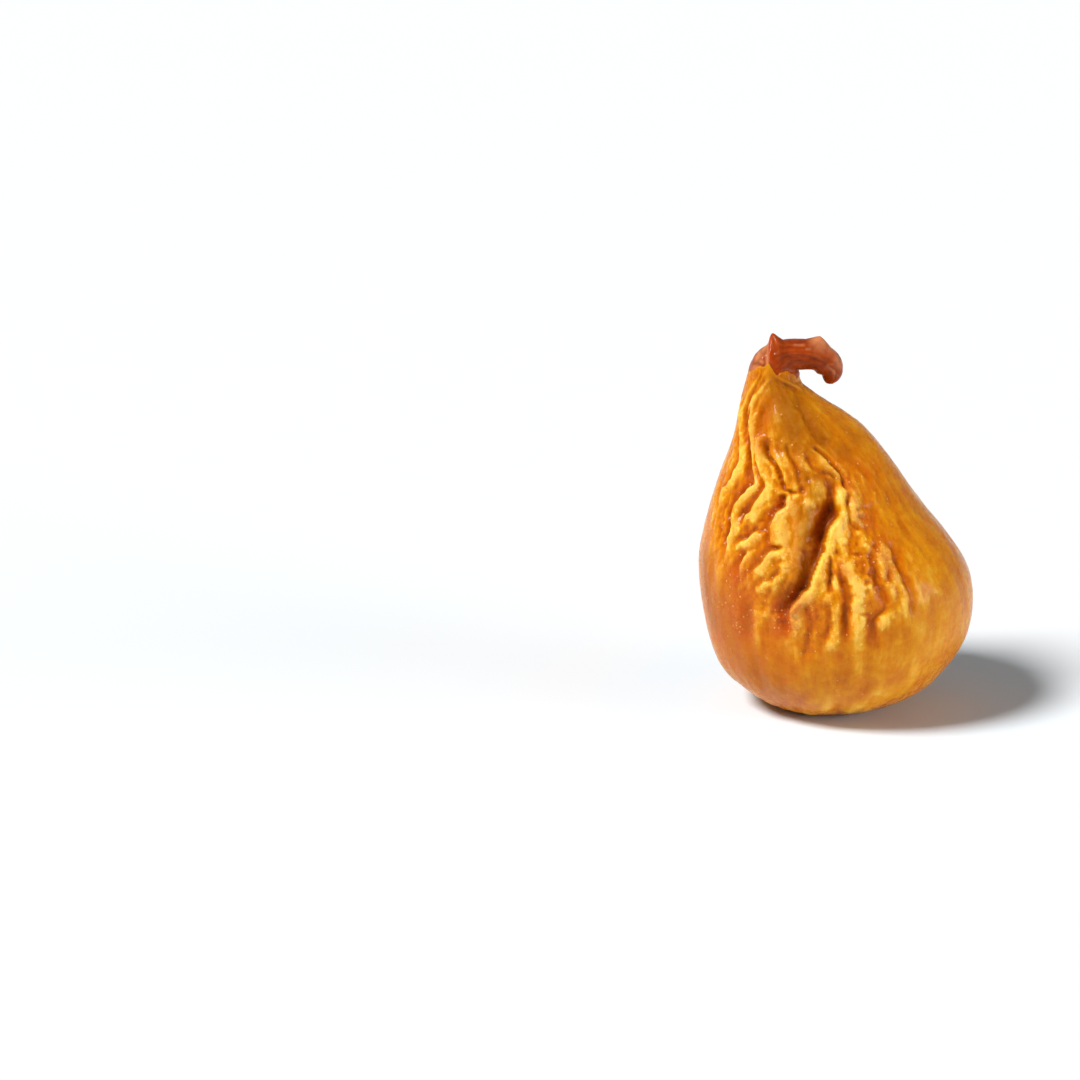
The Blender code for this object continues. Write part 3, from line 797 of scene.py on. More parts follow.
# partly the skin's own browner neck, partly painted shade in and round the crease and a painted shadow over the lower
# left
BROWN_AND_SHADE_STROKES = (
    (2.4, 0.95, ((784, 388), (788, 408), (795, 432))),
    (2.0, 0.95, ((797, 396), (808, 416), (822, 438))),
    (1.8, 0.45, ((818, 402), (836, 420), (854, 436))),
    (2.8, 0.40, ((716, 596), (720, 620), (730, 645), (745, 668))),
    (2.0, 0.75, ((704, 560), (706, 590), (712, 620))),
    (1.8, 0.70, ((812, 446), (800, 446), (788, 442))),
    (1.5, 0.60, ((832, 446), (846, 450))),
    (1.4, 0.65, ((804, 476), (816, 480), (826, 476))),
    (1.1, 0.55, ((812, 492), (818, 498))),
    (1.0, 0.80, ((808, 512), (808, 530), (806, 546))),
    (1.0, 0.85, ((806, 560), (802, 576), (798, 588))),
    (1.3, 0.40, ((785, 588), (778, 600))),
    (2.4, 0.35, ((735, 640), (750, 665), (770, 690))),
    (0.9, 0.40, ((746, 610), (746, 630))),
    (0.6, 0.60, ((765, 445), (767, 455))),
)
# painted highlight: lighter skin on lit ridges and as small glints, and a painted lighter wash over the right flank
HIGHLIGHT_STROKES = (
    (4.0, 0.30, ((942, 590), (946, 615), (936, 645))),
    (2.2, 0.35, ((915, 600), (912, 640), (905, 670))),
    (0.4, 0.70, ((788, 409), (791, 412))),
    (0.3, 0.60, ((796, 424), (797, 430))),
    (0.6, 0.45, ((811, 394), (816, 394))),
    (0.8, 0.45, ((914, 638), (913, 650))),
    (0.6, 0.35, ((930, 634), (926, 636))),
    (0.8, 0.35, ((939, 604), (940, 616))),
    (1.1, 0.35, ((828, 690), (829, 704))),
    (0.6, 0.40, ((871, 691), (874, 693))),
    (1.0, 0.25, ((790, 692), (806, 690))),
    (0.4, 0.80, ((843, 489), (841, 496), (840, 502))),
    (0.3, 0.55, ((783, 491), (784, 494))),
    (0.5, 0.75, ((788, 496), (788, 503))),
    (0.7, 0.65, ((798, 601), (792, 609), (789, 620))),
    (0.5, 0.75, ((822, 556), (817, 568), (812, 580), (808, 594))),
    (0.4, 0.80, ((834, 562), (833, 568))),
    (0.4, 0.80, ((834, 576), (834, 586))),
    (0.7, 0.75, ((855, 588), (862, 589), (868, 588))),
    (0.4, 0.70, ((854, 598), (854, 604), (860, 601))),
    (0.3, 0.70, ((844, 568), (850, 567))),
    (0.4, 0.60, ((848, 576), (852, 581))),
    (0.3, 0.80, ((859, 532), (859, 534))),
    (0.3, 0.80, ((886, 613), (881, 617), (878, 622), (878, 628))),
    (0.4, 0.55, ((871, 571), (873, 576))),
    (0.5, 0.50, ((826, 592), (824, 597))),
    (0.4, 0.50, ((828, 643), (825, 650))),
    (0.5, 0.65, ((774, 552), (767, 556), (761, 563), (754, 571))),
    (0.4, 0.70, ((766, 582), (760, 585), (757, 588))),
    (0.3, 0.60, ((775, 577), (772, 581))),
    (0.5, 0.70, ((758, 534), (751, 536), (741, 542), (737, 549))),
    (0.3, 0.65, ((749, 551), (744, 556), (742, 561))),
    (0.5, 0.60, ((784, 523), (784, 535), (783, 546))),
    (0.4, 0.55, ((779, 512), (774, 518), (771, 527))),
    (0.4, 0.70, ((833, 519), (831, 527), (828, 533))),
    (0.4, 0.70, ((837, 525), (837, 531), (839, 536))),
    (0.6, 0.55, ((739, 469), (736, 474))),
    (0.7, 0.50, ((756, 486), (749, 492), (742, 497))),
    (0.5, 0.50, ((767, 489), (762, 495), (757, 504))),
    (0.5, 0.40, ((723, 487), (721, 500))),
    (0.3, 0.60, ((852, 502), (852, 512), (853, 519))),
    (0.3, 0.50, ((764, 372), (770, 366))),
)

paints = {}
for label, strokes in (("blush", BLUSH), ("bumpy", BUMPY), ("painted_shade", SHADE_STROKES), ("brown_and_shade", BROWN_AND_SHADE_STROKES), ("painted_highlight", HIGHLIGHT_STROKES)):
    paints[label] = paint_field(flat_base, tree, strokes).reshape(base.shape[:2])
folds = stroke_field(flat_base, normals.reshape(-1, 3), tree, FOLDS).reshape(base.shape[:2])

# ------------------------------------------------------------------ wrinkles all over
z = base[..., 2]
turn = np.repeat(theta[None, :], base.shape[0], 0)
front = smoothstep(-0.55, -0.05, -np.sin(turn)) * smoothstep(4, 12, z) * smoothstep(45, 42, z)
flank = np.exp(-(((np.angle(np.exp(1j * (turn + 0.25)))) / 0.75) ** 2)) * smoothstep(36, 24, z)
neck = smoothstep(30, 40, z)
upper = smoothstep(7, 20, z)
top = smoothstep(42.4, 43.6, z)
rough = Noise(5)(base / 9.0) * 0.5 + 0.5
patchy = np.clip(0.35 + 1.1 * rough, 0, 1.2)
busy = np.clip(blur(np.abs(folds), 9, 10) / 0.16, 0, 1)

large_phase, large_size = waves(base, across, down, 5.6, 11, 0.16, 3.2)
medium_phase, medium_size = waves(base, across, down, 2.7, 23, 0.30, 2.4)
small_phase, small_size = waves(base, across, down, 1.15, 37, 0.45, 1.9)
cross_phase, cross_size = waves(base, down, across, 1.5, 41, 0.5, 1.2)


def fold_flow(points, up, strokes):
    """A direction at every point that follows the long strokes near it."""
    middles, ways = [], []
    for _, _, _, pixels, *_ in strokes:
        line = on_surface(tree, pixels)
        if line is None or np.linalg.norm(np.diff(line, axis=0), axis=1).sum() < 2.2:
            continue
        way = np.diff(line, axis=0)
        way[way[:, 2] < 0] *= -1
        middles.append((line[1:] + line[:-1]) / 2)
        ways.append(way)
    middles, ways = np.concatenate(middles), np.concatenate(ways)
    flat, total = points.reshape(-1, 3), 0.05 * up.reshape(-1, 3).copy()
    close = np.flatnonzero((flat[:, 1] < 3) & (flat[:, 2] > 4))
    for k in range(0, len(close), 3000):
        some = close[k : k + 3000]
        away = ((flat[some][:, None] - middles[None]) ** 2).sum(2)
        total[some] += np.exp(-away / (2 * 1.1**2)) @ ways
    total = total.reshape(points.shape)
    total -= (total * normals).sum(2)[..., None] * normals
    return total / np.maximum(np.linalg.norm(total, axis=2), 1e-9)[..., None]


flow = fold_flow(base, down, FOLDS)
flow_across = np.cross(flow, normals)
fine_phase, fine_size = waves(base, flow_across, flow, 1.15, 53, 0.20, 2.4)
finer_phase, finer_size = waves(base[:, :], flow_across, flow, 0.80, 59, 0.35, 1.7)


def ridged(phase, sharp):
    """Rounded ridges with narrower valleys, centred on zero."""
    w = 0.5 + 0.5 * np.cos(phase)
    shaped = 1 - (1 - w) ** sharp
    return shaped - 0.62


large = ridged(large_phase, 1.7) * large_size
medium = ridged(medium_phase, 1.6) * medium_size
small = ridged(small_phase, 1.4) * small_size
crossing = ridged(cross_phase, 1.3) * cross_size

fine = ridged(fine_phase, 1.5) * fine_size
finer = ridged(finer_phase, 1.3) * finer_size
off_front = 1 - front
height = blur(0.75 * np.tanh(np.clip(folds, 0, None) / 0.75) + np.clip(folds, None, 0), 0.6, 0.7)
height += large * 0.52 * off_front * (0.18 + 0.82 * upper) * (1 - 0.65 * flank) * (1 - 0.5 * neck)
height += medium * (0.30 * off_front + 0.035 * front) * (0.15 + 0.85 * upper) * (1 - 0.55 * flank) * patchy * (1 - 0.55 * neck)
height += small * (0.10 * off_front + 0.050 * front * (0.15 + busy)) * (0.25 + 0.75 * upper) * (1 - 0.5 * flank) * patchy
height += crossing * (0.09 * off_front + 0.060 * front * busy) * (0.1 + 0.9 * upper) * (1 - 0.8 * flank) * np.clip(rough * 1.6 - 0.4, 0, 1) * (1 - neck)
height += 0.10 * busy * front * (1 - 0.7 * neck) * Noise(68)(base / np.array([1.7, 1.7, 2.8]))
height += 0.075 * (1 - 0.6 * neck) * Noise(61)(base / np.array([1.1, 1.1, 2.6])) * (0.2 + 0.8 * np.maximum(upper * off_front, busy))
height += (0.015 + 0.048 * paints["bumpy"]) * Noise(62)(base / 0.52)
height += 0.040 * paints["bumpy"] * Noise(66)(base / 0.33)
height += front * (1 - 0.6 * neck) * (0.02 + busy) * (0.085 * fine * patchy + 0.050 * finer)
height += 0.30 * Noise(63)(base / 8.0) * (1 - front * 0.6) * (1 - neck)
streak_space = np.stack([np.cos(turn) * 16, np.sin(turn) * 16, z * 0.16], -1)
height += (0.015 * Noise(64)(streak_space / 0.9) + 0.05 * Noise(65)(streak_space / 2.2)) * (1 - top)
# crisper crests and valleys
height += 0.34 * (height - blur(height, 1.6, 2.0)) + 0.14 * (height - blur(height, 5.0, 6.0))
height -= 0.14 * smoothstep(3, 9, z) * smoothstep(38, 34, z)

# the foot: creases draw in to the closed eye
eye = np.array([EYE_AT[0], EYE_AT[1], 0])
to_eye = np.linalg.norm((base - eye)[..., :2], axis=2)
spoke = np.arctan2(base[..., 1] - eye[1], base[..., 0] - eye[0])
under = smoothstep(2.5, 0.2, z)
creases = 0.5 + 0.5 * np.cos(17 * spoke + 1.3 * Noise(71)(base / 3.0) * 3)
height += under * (-0.30 * creases**2 * smoothstep(9, 3, to_eye) - 0.12 * np.clip(Noise(72)(base / 1.6), 0, 1))
height -= under * 1.1 * np.exp(-((to_eye / 1.5) ** 2))
height += under * 0.55 * np.exp(-(((to_eye - 1.05) / 0.35) ** 2)) * (0.55 + 0.45 * np.cos(7 * spoke + 0.6))
height[:FOOT_ROWS] = np.minimum(height[:FOOT_ROWS], 0)
cuff_from = FOOT_ROWS + SIDE_ROWS
settle = np.ones(base.shape[0])
settle[cuff_from:] = np.concatenate([np.linspace(0.9, 0.35, CUFF_ROWS - 1), np.zeros(1 + CAP_ROWS)])
height *= settle[:, None]

skin = base + normals * height[..., None]
skin[..., 2] = np.maximum(skin[..., 2], 0.0)

body = mesh_object("fig_skin", skin)
mean = blur(height, 5, 6)
broad = blur(height, 14, 16)
tight = blur(height, 2.2, 2.8)
# painted shade: how far each point lies below its surroundings, which darkens the skin's colour in valleys and creases
valley_shade = np.clip((tight - height) / 0.12, 0, 1) * 0.35 + np.clip((mean - height) / 0.24, 0, 1) * 0.45 + np.clip((broad - height) / 0.8, 0, 1) * 0.6
calm = 0.22 + 0.78 * np.maximum(busy, 0.45 * off_front)
valley_shade = valley_shade * calm
# painted highlight: how far each point stands above its surroundings, which lightens the skin's colour on crests
crest_highlight = np.clip((height - tight) / 0.10, 0, 1) * 0.35 + np.clip((height - mean) / 0.20, 0, 1) * 0.45 + np.clip((height - broad) / 0.6, 0, 1) * 0.35
give(body, "valley_shade", np.clip(valley_shade, 0, 1))
give(body, "crest_highlight", np.clip(crest_highlight, 0, 1))
# painted shade: the deepest dents, where the colour turns dark brown
give(body, "pit_shade", np.clip((-height - 0.50) / 1.1, 0, 1) * smoothstep(2, 5, z))
for label, mask in paints.items():
    give(body, label, mask)
give(body, "busy", busy * front)
give(body, "streak", streak_space)

# ------------------------------------------------------------------ the stem
STEM_STROKES = (
    ("g", 0.20, 0.16, ((764, 343), (762, 352), (765, 362), (765, 371))),
    ("s", 0.50, 0.16, ((771, 340), (768, 350), (767, 360), (768, 372)), 0.40, 0.20),
    ("g", 0.34, 0.26, ((774, 344), (773, 355), (773, 366), (776, 373))),
    ("r", 0.40, 0.18, ((780, 343), (780, 352), (780, 362))),
    ("g", 0.34, 0.30, ((752, 364), (758, 364), (763, 361))),
    ("r", 0.26, 0.16, ((756, 351), (761, 354), (766, 357))),
    ("c", 0.18, 0.12, ((782, 346), (792, 347), (804, 348), (814, 349))),
    ("r", 0.35, 0.09, ((783, 351), (795, 353), (808, 354), (820, 357))),
    ("c", 0.20, 0.12, ((782, 358), (792, 357), (804, 357), (816, 360), (828, 366))),
    ("g", 0.50, 0.22, ((786, 368), (791, 364), (797, 361), (804, 361))),
    ("r", 0.26, 0.18, ((780, 371), (783, 366), (788, 362), (791, 359))),
    ("g", 0.45, 0.18, ((815, 345), (823, 350), (830, 357))),
    ("r", 0.35, 0.16, ((832, 349), (836, 357), (838, 365))),
    ("c", 0.20, 0.22, ((828, 366), (833, 369), (836, 374), (834, 380))),
    ("r", 0.26, 0.18, ((827, 363), (832, 366), (835, 371))),
    ("r", 0.26, 0.08, ((806, 363), (814, 364), (820, 369))),
)
STEM_ORANGE = (
    (0.60, 1.00, ((771, 346), (770, 357), (771, 368))),
    (0.60, 0.60, ((768, 372), (775, 374))),
    (0.80, 0.30, ((796, 352), (806, 353))),
)
STEM_TAN = (
    (0.70, 1.00, ((757, 357), (760, 353), (763, 349), (765, 347))),
    (0.60, 0.75, ((752, 368), (756, 368))),
    (0.22, 0.95, ((768, 343), (767, 355), (767, 371))),
    (1.10, 1.00, ((817, 338), (823, 341), (829, 347))),
    (0.70, 0.75, ((832, 348), (837, 356), (840, 364))),
    (0.34, 0.60, ((772, 340), (773, 345))),
    (0.25, 0.55, ((828, 366), (834, 371), (837, 376))),
    (0.20, 0.45, ((795, 345), (803, 345))),
    (0.20, 0.45, ((807, 349), (810, 349))),
    (0.25, 0.80, ((760, 361), (762, 362))),
)
# painted shade: darker patches in the stalk's grooves, where it meets the skin and under its arm
STEM_SHADE_STROKES = (
    (0.45, 0.70, ((753, 363), (758, 363))),
    (0.40, 0.40, ((788, 367), (794, 363), (802, 362))),
    (0.70, 0.50, ((806, 366), (816, 368), (822, 375))),
    (0.60, 0.40, ((781, 345), (781, 360))),
    (0.70, 0.30, ((812, 358), (826, 360))),
    (0.35, 0.55, ((771, 335), (771, 340))),
)

stem_flat = stem_base.reshape(-1, 3)
stem_normals = grid_normals(stem_base)
stem_height = stroke_field(stem_flat, stem_normals.reshape(-1, 3), stem_tree, STEM_STROKES).reshape(stem_base.shape[:2])
stem_orange = paint_field(stem_flat, stem_tree, STEM_ORANGE).reshape(stem_base.shape[:2])
stem_tan = paint_field(stem_flat, stem_tree, STEM_TAN).reshape(stem_base.shape[:2])
stem_shade = paint_field(stem_flat, stem_tree, STEM_SHADE_STROKES).reshape(stem_base.shape[:2])
run = np.concatenate([[0], np.cumsum(np.linalg.norm(np.diff(stem_base.mean(1), axis=0), axis=1))])
stem_turn = np.linspace(0, 2 * math.pi, STEM_COLUMNS, endpoint=False)
fibre = np.stack(
    [
        np.repeat(np.cos(stem_turn)[None] * 2.2, STEM_ROWS, 0),
        np.repeat(np.sin(stem_turn)[None] * 2.2, STEM_ROWS, 0),
        np.repeat(run[:, None] * 0.16, STEM_COLUMNS, 1),
    ],
    -1,
)
behind = smoothstep(-0.2, 0.6, np.sin(stem_turn))[None, :]
stem_height = 0.6 * stem_height + 0.030 * Noise(81)(fibre / 0.55) + 0.012 * Noise(82)(fibre / 0.25)
stem_height += 0.05 * behind * Noise(83)(fibre / 1.1) + 0.05 * Noise(84)(stem_base / 0.8)
stem_skin = stem_base + stem_normals * stem_height[..., None]


def pull(points, start, tip, radius, sharp=2.0, squash=(1, 1, 1)):
    """Draws the surface round start out towards tip, as a point or a knob."""
    start, tip = np.array(start, float), np.array(tip, float)
    away = np.linalg.norm((points - start) * squash, axis=2) / radius
    weight = np.clip(1 - away, 0, 1) ** sharp
    return points + weight[..., None] * (tip - start), weight


def middle_point(px, py, depth=0.0):
    """The point at a given depth that shows at a pixel."""
    d = pixel_ray(px, py)
    return EYE + d * ((depth - EYE[1]) / d[1])


stem_skin, spike = pull(stem_skin, middle_point(775.0, 342.0, -0.6), middle_point(771.0, 328.6, -0.3), 1.25, 1.3, (1.0, 0.55, 1.0))
stem_skin, knob = pull(stem_skin, middle_point(820.0, 342.0, -0.3), middle_point(820.5, 334.5, -0.3), 1.6, 1.2, (0.9, 0.6, 1.0))

stem = mesh_object("fig_stem", stem_skin)
stem_mean = blur(stem_height, 5, 5)
# painted shade in the stalk's grooves and painted highlight on its crests
give(stem, "valley_shade", np.clip((stem_mean - stem_height) / 0.10, 0, 1))
give(stem, "crest_highlight", np.clip((stem_height - stem_mean) / 0.10, 0, 1))
give(stem, "orange", stem_orange)
give(stem, "tan", np.maximum(stem_tan * (1 - np.clip(2 * spike, 0, 0.8)), np.clip(1.8 * knob, 0, 1)))
give(stem, "dark", stem_shade)
give(stem, "fibre", fibre)


# ------------------------------------------------------------------ materials
class Graph:
    """Short names for building a node tree."""

    def __init__(self, name):
        self.material = bpy.data.materials.new(name)
        self.material.use_nodes = True
        self.tree = self.material.node_tree
        self.shader = self.tree.nodes["Principled BSDF"]

    def put(self, kind, **values):
        node = self.tree.nodes.new(kind)
        for key, value in values.items():
            setattr(node, key, value)
        return node

    def link(self, a, b):
        self.tree.links.new(a, b)

    def feed(self, socket, value):
        if hasattr(value, "links"):
            self.link(value, socket)
        else:
            socket.default_value = value

    def attribute(self, name, vector=False):
        node = self.put("ShaderNodeAttribute", attribute_name=name)
        return node.outputs["Vector" if vector else "Fac"]

    def math(self, operation, a, b=0.0, clamp=False):
        node = self.put("ShaderNodeMath", operation=operation, use_clamp=clamp)
        self.feed(node.inputs[0], a)
        self.feed(node.inputs[1], b)
        return node.outputs[0]

    def noise(self, coords, scale, detail=3.0, rough=0.55, stretch=None):
        node = self.put("ShaderNodeTexNoise")
        if stretch:
            mapping = self.put("ShaderNodeMapping")
            mapping.inputs["Scale"].default_value = stretch
            self.link(coords, mapping.inputs["Vector"])
            coords = mapping.outputs["Vector"]
        self.link(coords, node.inputs["Vector"])
        node.inputs["Scale"].default_value = scale
        node.inputs["Detail"].default_value = detail
        node.inputs["Roughness"].default_value = rough
        return node.outputs["Fac"]

    def spread(self, value, low, high, to_low=0.0, to_high=1.0):
        node = self.put("ShaderNodeMapRange", interpolation_type="SMOOTHSTEP")
        self.feed(node.inputs["Value"], value)
        for key, v in (("From Min", low), ("From Max", high), ("To Min", to_low), ("To Max", to_high)):
            node.inputs[key].default_value = v
        return node.outputs["Result"]

    def mix(self, factor, a, b, blend="MIX"):
        node = self.put("ShaderNodeMix", data_type="RGBA", blend_type=blend)
        self.feed(node.inputs["Factor"], factor)
        for socket, value in ((node.inputs[6], a), (node.inputs[7], b)):
            if hasattr(value, "links"):
                self.link(value, socket)
            else:
                socket.default_value = (*value, 1)
        return node.outputs[2]

    def bump(self, value, distance, strength=1.0, normal=None):
        node = self.put("ShaderNodeBump")
        node.inputs["Distance"].default_value = distance
        self.feed(node.inputs["Strength"], strength)
        self.link(value, node.inputs["Height"])
        if normal is not None:
            self.link(normal, node.inputs["Normal"])
        return node.outputs["Normal"]

    def ramp(self, value, colours, smooth=True):
        node = self.put("ShaderNodeValToRGB")
        if smooth:
            node.color_ramp.interpolation = "B_SPLINE"
        stops = node.color_ramp.elements
        stops[0].position, stops[0].color = colours[0][0], (*colours[0][1], 1)
        stops[1].position, stops[1].color = colours[-1][0], (*colours[-1][1], 1)
        for at, colour in colours[1:-1]:
            stops.new(at).color = (*colour, 1)
        self.link(value, node.inputs["Fac"])
        return node.outputs["Color"]


def skin_material():
    g = Graph("dried fig skin")
    spot = g.put("ShaderNodeTexCoord").outputs["Object"]
    streak = g.attribute("streak", vector=True)
    valley_shade, crest_highlight, pit_shade, bumpy, busy = (g.attribute(name) for name in ("valley_shade", "crest_highlight", "pit_shade", "bumpy", "busy"))
    blotch = g.noise(spot, 340, 4.0, 0.6)
    grain = g.noise(spot, 1000, 5.0, 0.65)
    run = g.noise(streak, 1.3, 4.0, 0.62)
    fine_run = g.noise(streak, 4.5, 3.0, 0.6)

    # painted highlight: the tone is raised on crests
    tone = g.math("MULTIPLY", crest_highlight, 0.40)
    # painted shade: the tone is lowered in valleys and creases
    tone = g.math("SUBTRACT", tone, g.math("MULTIPLY", valley_shade, 0.36))
    tone = g.math("ADD", tone, g.spread(blotch, 0.3, 0.7, -0.10, 0.10))
    tone = g.math("ADD", tone, g.spread(run, 0.3, 0.7, -0.07, 0.07))
    tone = g.math("ADD", tone, g.spread(fine_run, 0.3, 0.7, -0.03, 0.03))
    tone = g.math("ADD", tone, g.spread(grain, 0.3, 0.7, -0.07, 0.07))
    # painted glints: small pale flecks on the crests of the folds
    glint_flecks = g.spread(g.noise(spot, 1900, 3.0, 0.6), 0.54, 0.66, 0.0, 0.30)
    tone = g.math("ADD", tone, g.math("MULTIPLY", glint_flecks, g.math("MULTIPLY", busy, crest_highlight)))
    # painted highlight
    tone = g.math("ADD", tone, g.math("MULTIPLY", g.attribute("painted_highlight"), 0.30))
    tone = g.math("ADD", tone, 0.45, clamp=True)
    colour = g.ramp(
        tone,
        (
            (0.00, (0.330, 0.050, 0.0006)),
            (0.25, (0.540, 0.125, 0.0010)),
            (0.50, (0.660, 0.215, 0.0014)),
            (0.75, (0.760, 0.335, 0.0060)),
            (1.00, (0.940, 0.620, 0.1200)),
        ),
    )
    # painted shade and painted shadow, in deeper orange
    colour = g.mix(g.math("MULTIPLY", g.attribute("painted_shade"), 0.75), colour, (0.560, 0.120, 0.0012))
    red = g.math("MULTIPLY", g.attribute("blush"), g.spread(g.noise(spot, 620, 4.0, 0.7), 0.35, 0.62, 0.42, 0.95))
    colour = g.mix(red, colour, (0.500, 0.072, 0.0080))
    # browner skin and painted shade
    colour = g.mix(g.math("MULTIPLY", g.attribute("brown_and_shade"), 0.92), colour, (0.350, 0.098, 0.0020))
    # painted shade: dark brown in the deepest dents
    colour = g.mix(g.math("MULTIPLY", pit_shade, 0.60), colour, (0.200, 0.026, 0.0010))

    # dried sugar and painted glints: small pale grains, thicker in the crinkled places
    cells = g.put("ShaderNodeTexVoronoi")
    g.link(spot, cells.inputs["Vector"])
    cells.inputs["Scale"].default_value = 2500
    chosen = g.put("ShaderNodeSeparateColor")
    g.link(cells.outputs["Color"], chosen.inputs["Color"])
    share = g.math("ADD", g.math("MULTIPLY", bumpy, 0.30), 0.026)
    picked = g.math("LESS_THAN", chosen.outputs[0], share)
    sugar_and_glint_speck = g.math("MULTIPLY", picked, g.spread(cells.outputs["Distance"], 0.42, 0.10))
    colour = g.mix(g.math("MULTIPLY", sugar_and_glint_speck, 0.60), colour, (0.95, 0.56, 0.22))
    g.link(colour, g.shader.inputs["Base Color"])

    roughness = g.math("ADD", g.spread(grain, 0.3, 0.7, 0.20, 0.36), g.math("MULTIPLY", pit_shade, 0.25))
    g.link(roughness, g.shader.inputs["Roughness"])
    s = g.shader.inputs
    s["Subsurface Weight"].default_value = 0.7
    s["Subsurface Radius"].default_value = (1.0, 0.36, 0.06)
    s["Subsurface Scale"].default_value = 0.0011
    s["Specular IOR Level"].default_value = 0.12
    s["Specular Tint"].default_value = (1.0, 0.80, 0.45, 1)
    s["IOR"].default_value = 1.45
    s["Coat Weight"].default_value = 0.20
    s["Coat IOR"].default_value = 1.40
    s["Coat Roughness"].default_value = 0.12

    crinkle = g.noise(spot, 3000, 3.0, 0.6)
    dents = g.noise(spot, 1500, 2.0, 0.5)
    wavy = g.noise(streak, 9.0, 3.0, 0.6, stretch=(1, 1, 2.2))
    normal = g.bump(wavy, 0.00010, 0.5)
    normal = g.bump(dents, 0.00022, g.math("ADD", g.math("MULTIPLY", busy, 0.50), 0.06), normal)
    normal = g.bump(grain, 0.00018, g.math("ADD", g.math("MULTIPLY", bumpy, 0.8), g.math("ADD", g.math("MULTIPLY", busy, 0.25), 0.3)), normal)
    normal = g.bump(crinkle, 0.00008, g.math("ADD", g.math("MULTIPLY", bumpy, 1.1), 0.30), normal)
    normal = g.bump(sugar_and_glint_speck, 0.00010, 0.7, normal)
    g.link(normal, g.shader.inputs["Normal"])
    return g.material


def stem_material():
    g = Graph("dried fig stem")
    spot = g.put("ShaderNodeTexCoord").outputs["Object"]
    fibre_at = g.attribute("fibre", vector=True)
    lines = g.noise(fibre_at, 3.2, 5.0, 0.65)
    fine = g.noise(fibre_at, 9.0, 3.0, 0.6)
    blotch = g.noise(spot, 650, 4.0, 0.6)
    grain = g.noise(spot, 2200, 3.0, 0.6)
    tone = g.math("ADD", g.spread(lines, 0.3, 0.7, -0.13, 0.13), g.spread(blotch, 0.3, 0.7, -0.2, 0.2))
    # painted highlight on crests and painted shade in grooves
    tone = g.math("ADD", tone, g.math("MULTIPLY", g.attribute("crest_highlight"), 0.20))
    tone = g.math("SUBTRACT", tone, g.math("MULTIPLY", g.attribute("valley_shade"), 0.22))
    tone = g.math("ADD", tone, g.spread(fine, 0.3, 0.7, -0.07, 0.07))
    tone = g.math("ADD", tone, 0.5, clamp=True)
    colour = g.ramp(
        tone,
        (
            (0.00, (0.130, 0.013, 0.0012)),
            (0.35, (0.235, 0.028, 0.0022)),
            (0.65, (0.330, 0.046, 0.0040)),
            (1.00, (0.480, 0.100, 0.0140)),
        ),
        smooth=False,
    )
    # painted shade
    colour = g.mix(g.math("MULTIPLY", g.attribute("dark"), 0.55), colour, (0.160, 0.018, 0.002))
    colour = g.mix(g.math("MULTIPLY", g.attribute("orange"), 0.80), colour, (0.420, 0.045, 0.0006))
    colour = g.mix(g.math("MULTIPLY", g.attribute("tan"), g.spread(blotch, 0.3, 0.65, 0.60, 0.95)), colour, (0.62, 0.235, 0.095))
    g.link(colour, g.shader.inputs["Base Color"])
    g.link(g.spread(grain, 0.3, 0.7, 0.30, 0.48), g.shader.inputs["Roughness"])
    s = g.shader.inputs
    s["Subsurface Weight"].default_value = 0.4
    s["Subsurface Radius"].default_value = (1.0, 0.22, 0.06)
    s["Subsurface Scale"].default_value = 0.0009
    s["Specular IOR Level"].default_value = 0.16
    s["Specular Tint"].default_value = (1.0, 0.62, 0.36, 1)
    s["Coat Weight"].default_value = 0.20
    s["Coat IOR"].default_value = 1.40
    s["Coat Roughness"].default_value = 0.12
    normal = g.bump(lines, 0.00005, 0.5)
    normal = g.bump(grain, 0.00006, 0.6, normal)
    g.link(normal, g.shader.inputs["Normal"])
    return g.material


body.data.materials.append(skin_material())
stem.data.materials.append(stem_material())
for piece, node, slot in ((body, "fig_body", "fig_skin"), (stem, "stem", "fig_stem")):
    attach(piece, "root")
    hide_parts(node)

# ------------------------------------------------------------------ floor and light
floor_mesh = bpy.data.meshes.new("floor")
size = 6.0
floor_mesh.from_pydata([(-size, -size, 0), (size, -size, 0), (size, size, 0), (-size, size, 0)], [], [(0, 1, 2, 3)])
floor = bpy.data.objects.new("floor", floor_mesh)
bpy.context.scene.collection.objects.link(floor)
floor.location.z = -0.00002
paper = bpy.data.materials.new("white board")
paper.use_nodes = True
shader = paper.node_tree.nodes["Principled BSDF"]
tree_of_paper = paper.node_tree
# a cooler tint painted on the floor round the fruit, which takes the orange of the light bounced from the fruit out of
# its shadow
where = tree_of_paper.nodes.new("ShaderNodeTexCoord")
far = tree_of_paper.nodes.new("ShaderNodeVectorMath")
far.operation = "LENGTH"
tree_of_paper.links.new(where.outputs["Object"], far.inputs[0])
fading = tree_of_paper.nodes.new("ShaderNodeMapRange")
fading.interpolation_type = "SMOOTHSTEP"
fading.inputs["From Min"].default_value, fading.inputs["From Max"].default_value = 0.019, 0.036
tree_of_paper.links.new(far.outputs["Value"], fading.inputs["Value"])
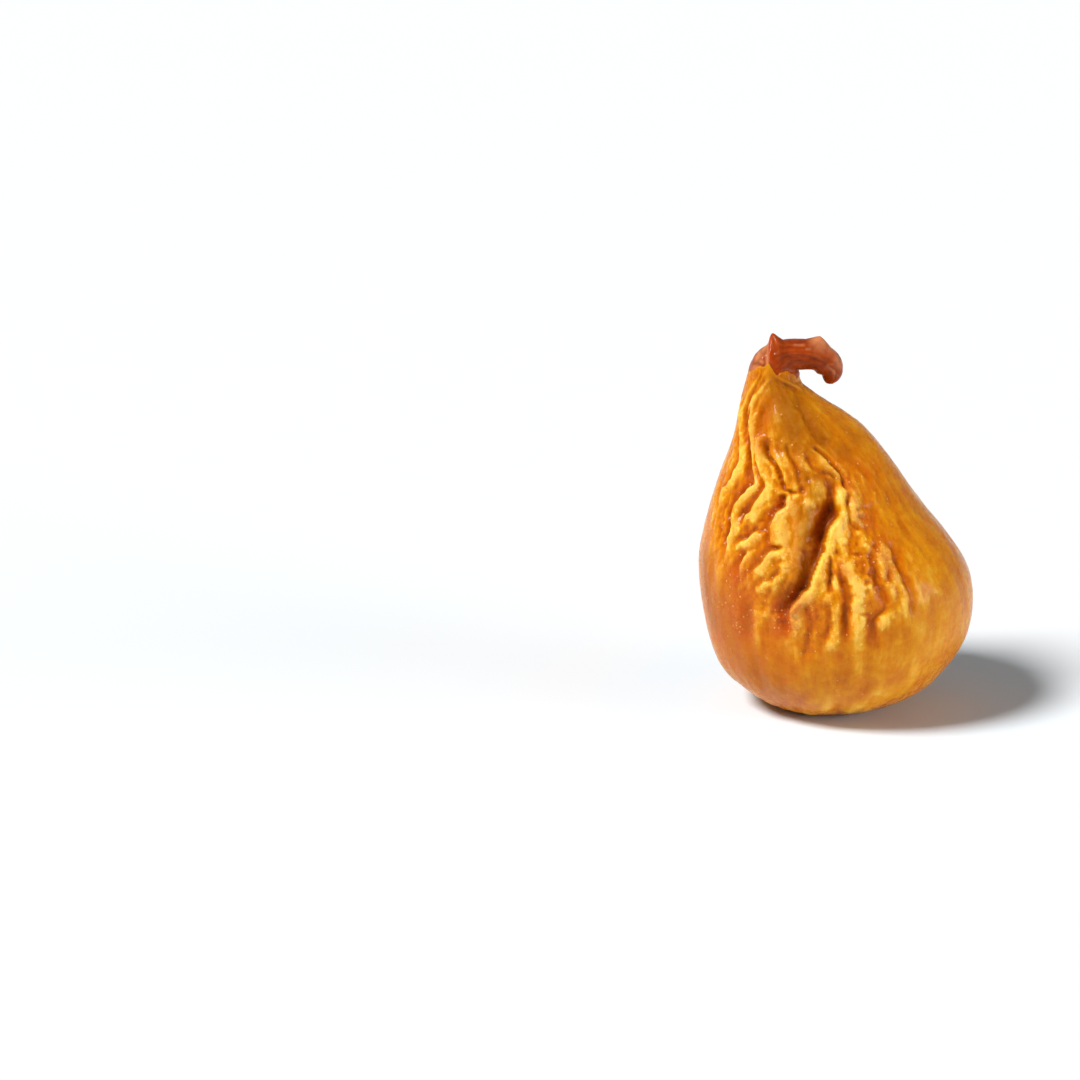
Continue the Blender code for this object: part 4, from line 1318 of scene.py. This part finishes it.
blend = tree_of_paper.nodes.new("ShaderNodeMix")
blend.data_type = "RGBA"
tree_of_paper.links.new(fading.outputs["Result"], blend.inputs["Factor"])
blend.inputs[6].default_value = (0.80, 0.87, 0.92, 1)
blend.inputs[7].default_value = (0.86, 0.87, 0.88, 1)
tree_of_paper.links.new(blend.outputs[2], shader.inputs["Base Color"])
shader.inputs["Roughness"].default_value = 0.9
shader.inputs["Specular IOR Level"].default_value = 0.1
floor_mesh.materials.append(paper)


def sun(name, strength, size, round_left, rise, colour=(1, 1, 1)):
    """A distant light. round_left is how far in front of the left side it stands, in degrees."""
    data = bpy.data.lights.new(name, "SUN")
    data.energy = strength
    data.angle = math.radians(size)
    data.color = colour
    thing = bpy.data.objects.new(name, data)
    bpy.context.scene.collection.objects.link(thing)
    side, rise = math.radians(round_left), math.radians(rise)
    towards = Vector((-math.cos(side) * math.cos(rise), -math.sin(side) * math.cos(rise), math.sin(rise)))
    thing.rotation_mode = "QUATERNION"
    thing.rotation_quaternion = towards.to_track_quat("Z", "Y")


sun("key", 4.0, 18, 27, 49)
sun("low fill", 2.5, 40, 158, 4)

world = bpy.data.worlds.new("studio")
bpy.context.scene.world = world
world.use_nodes = True
nodes, links = world.node_tree.nodes, world.node_tree.links
background = nodes["Background"]
background.inputs["Color"].default_value = (0.84, 0.99, 1.05, 1)
background.inputs["Strength"].default_value = 0.145
seen = nodes.new("ShaderNodeBackground")
seen.inputs["Color"].default_value = (1, 1, 1, 1)
seen.inputs["Strength"].default_value = 1.0
path = nodes.new("ShaderNodeLightPath")
pick = nodes.new("ShaderNodeMixShader")
links.new(path.outputs["Is Camera Ray"], pick.inputs["Fac"])
links.new(background.outputs[0], pick.inputs[1])
links.new(seen.outputs[0], pick.inputs[2])
links.new(pick.outputs[0], nodes["World Output"].inputs["Surface"])

scene = bpy.context.scene
scene.view_settings.view_transform = "Standard"
scene.view_settings.look = "None"
scene.view_settings.exposure = 0.0
scene.view_settings.gamma = 1.0

bpy.context.view_layer.update()
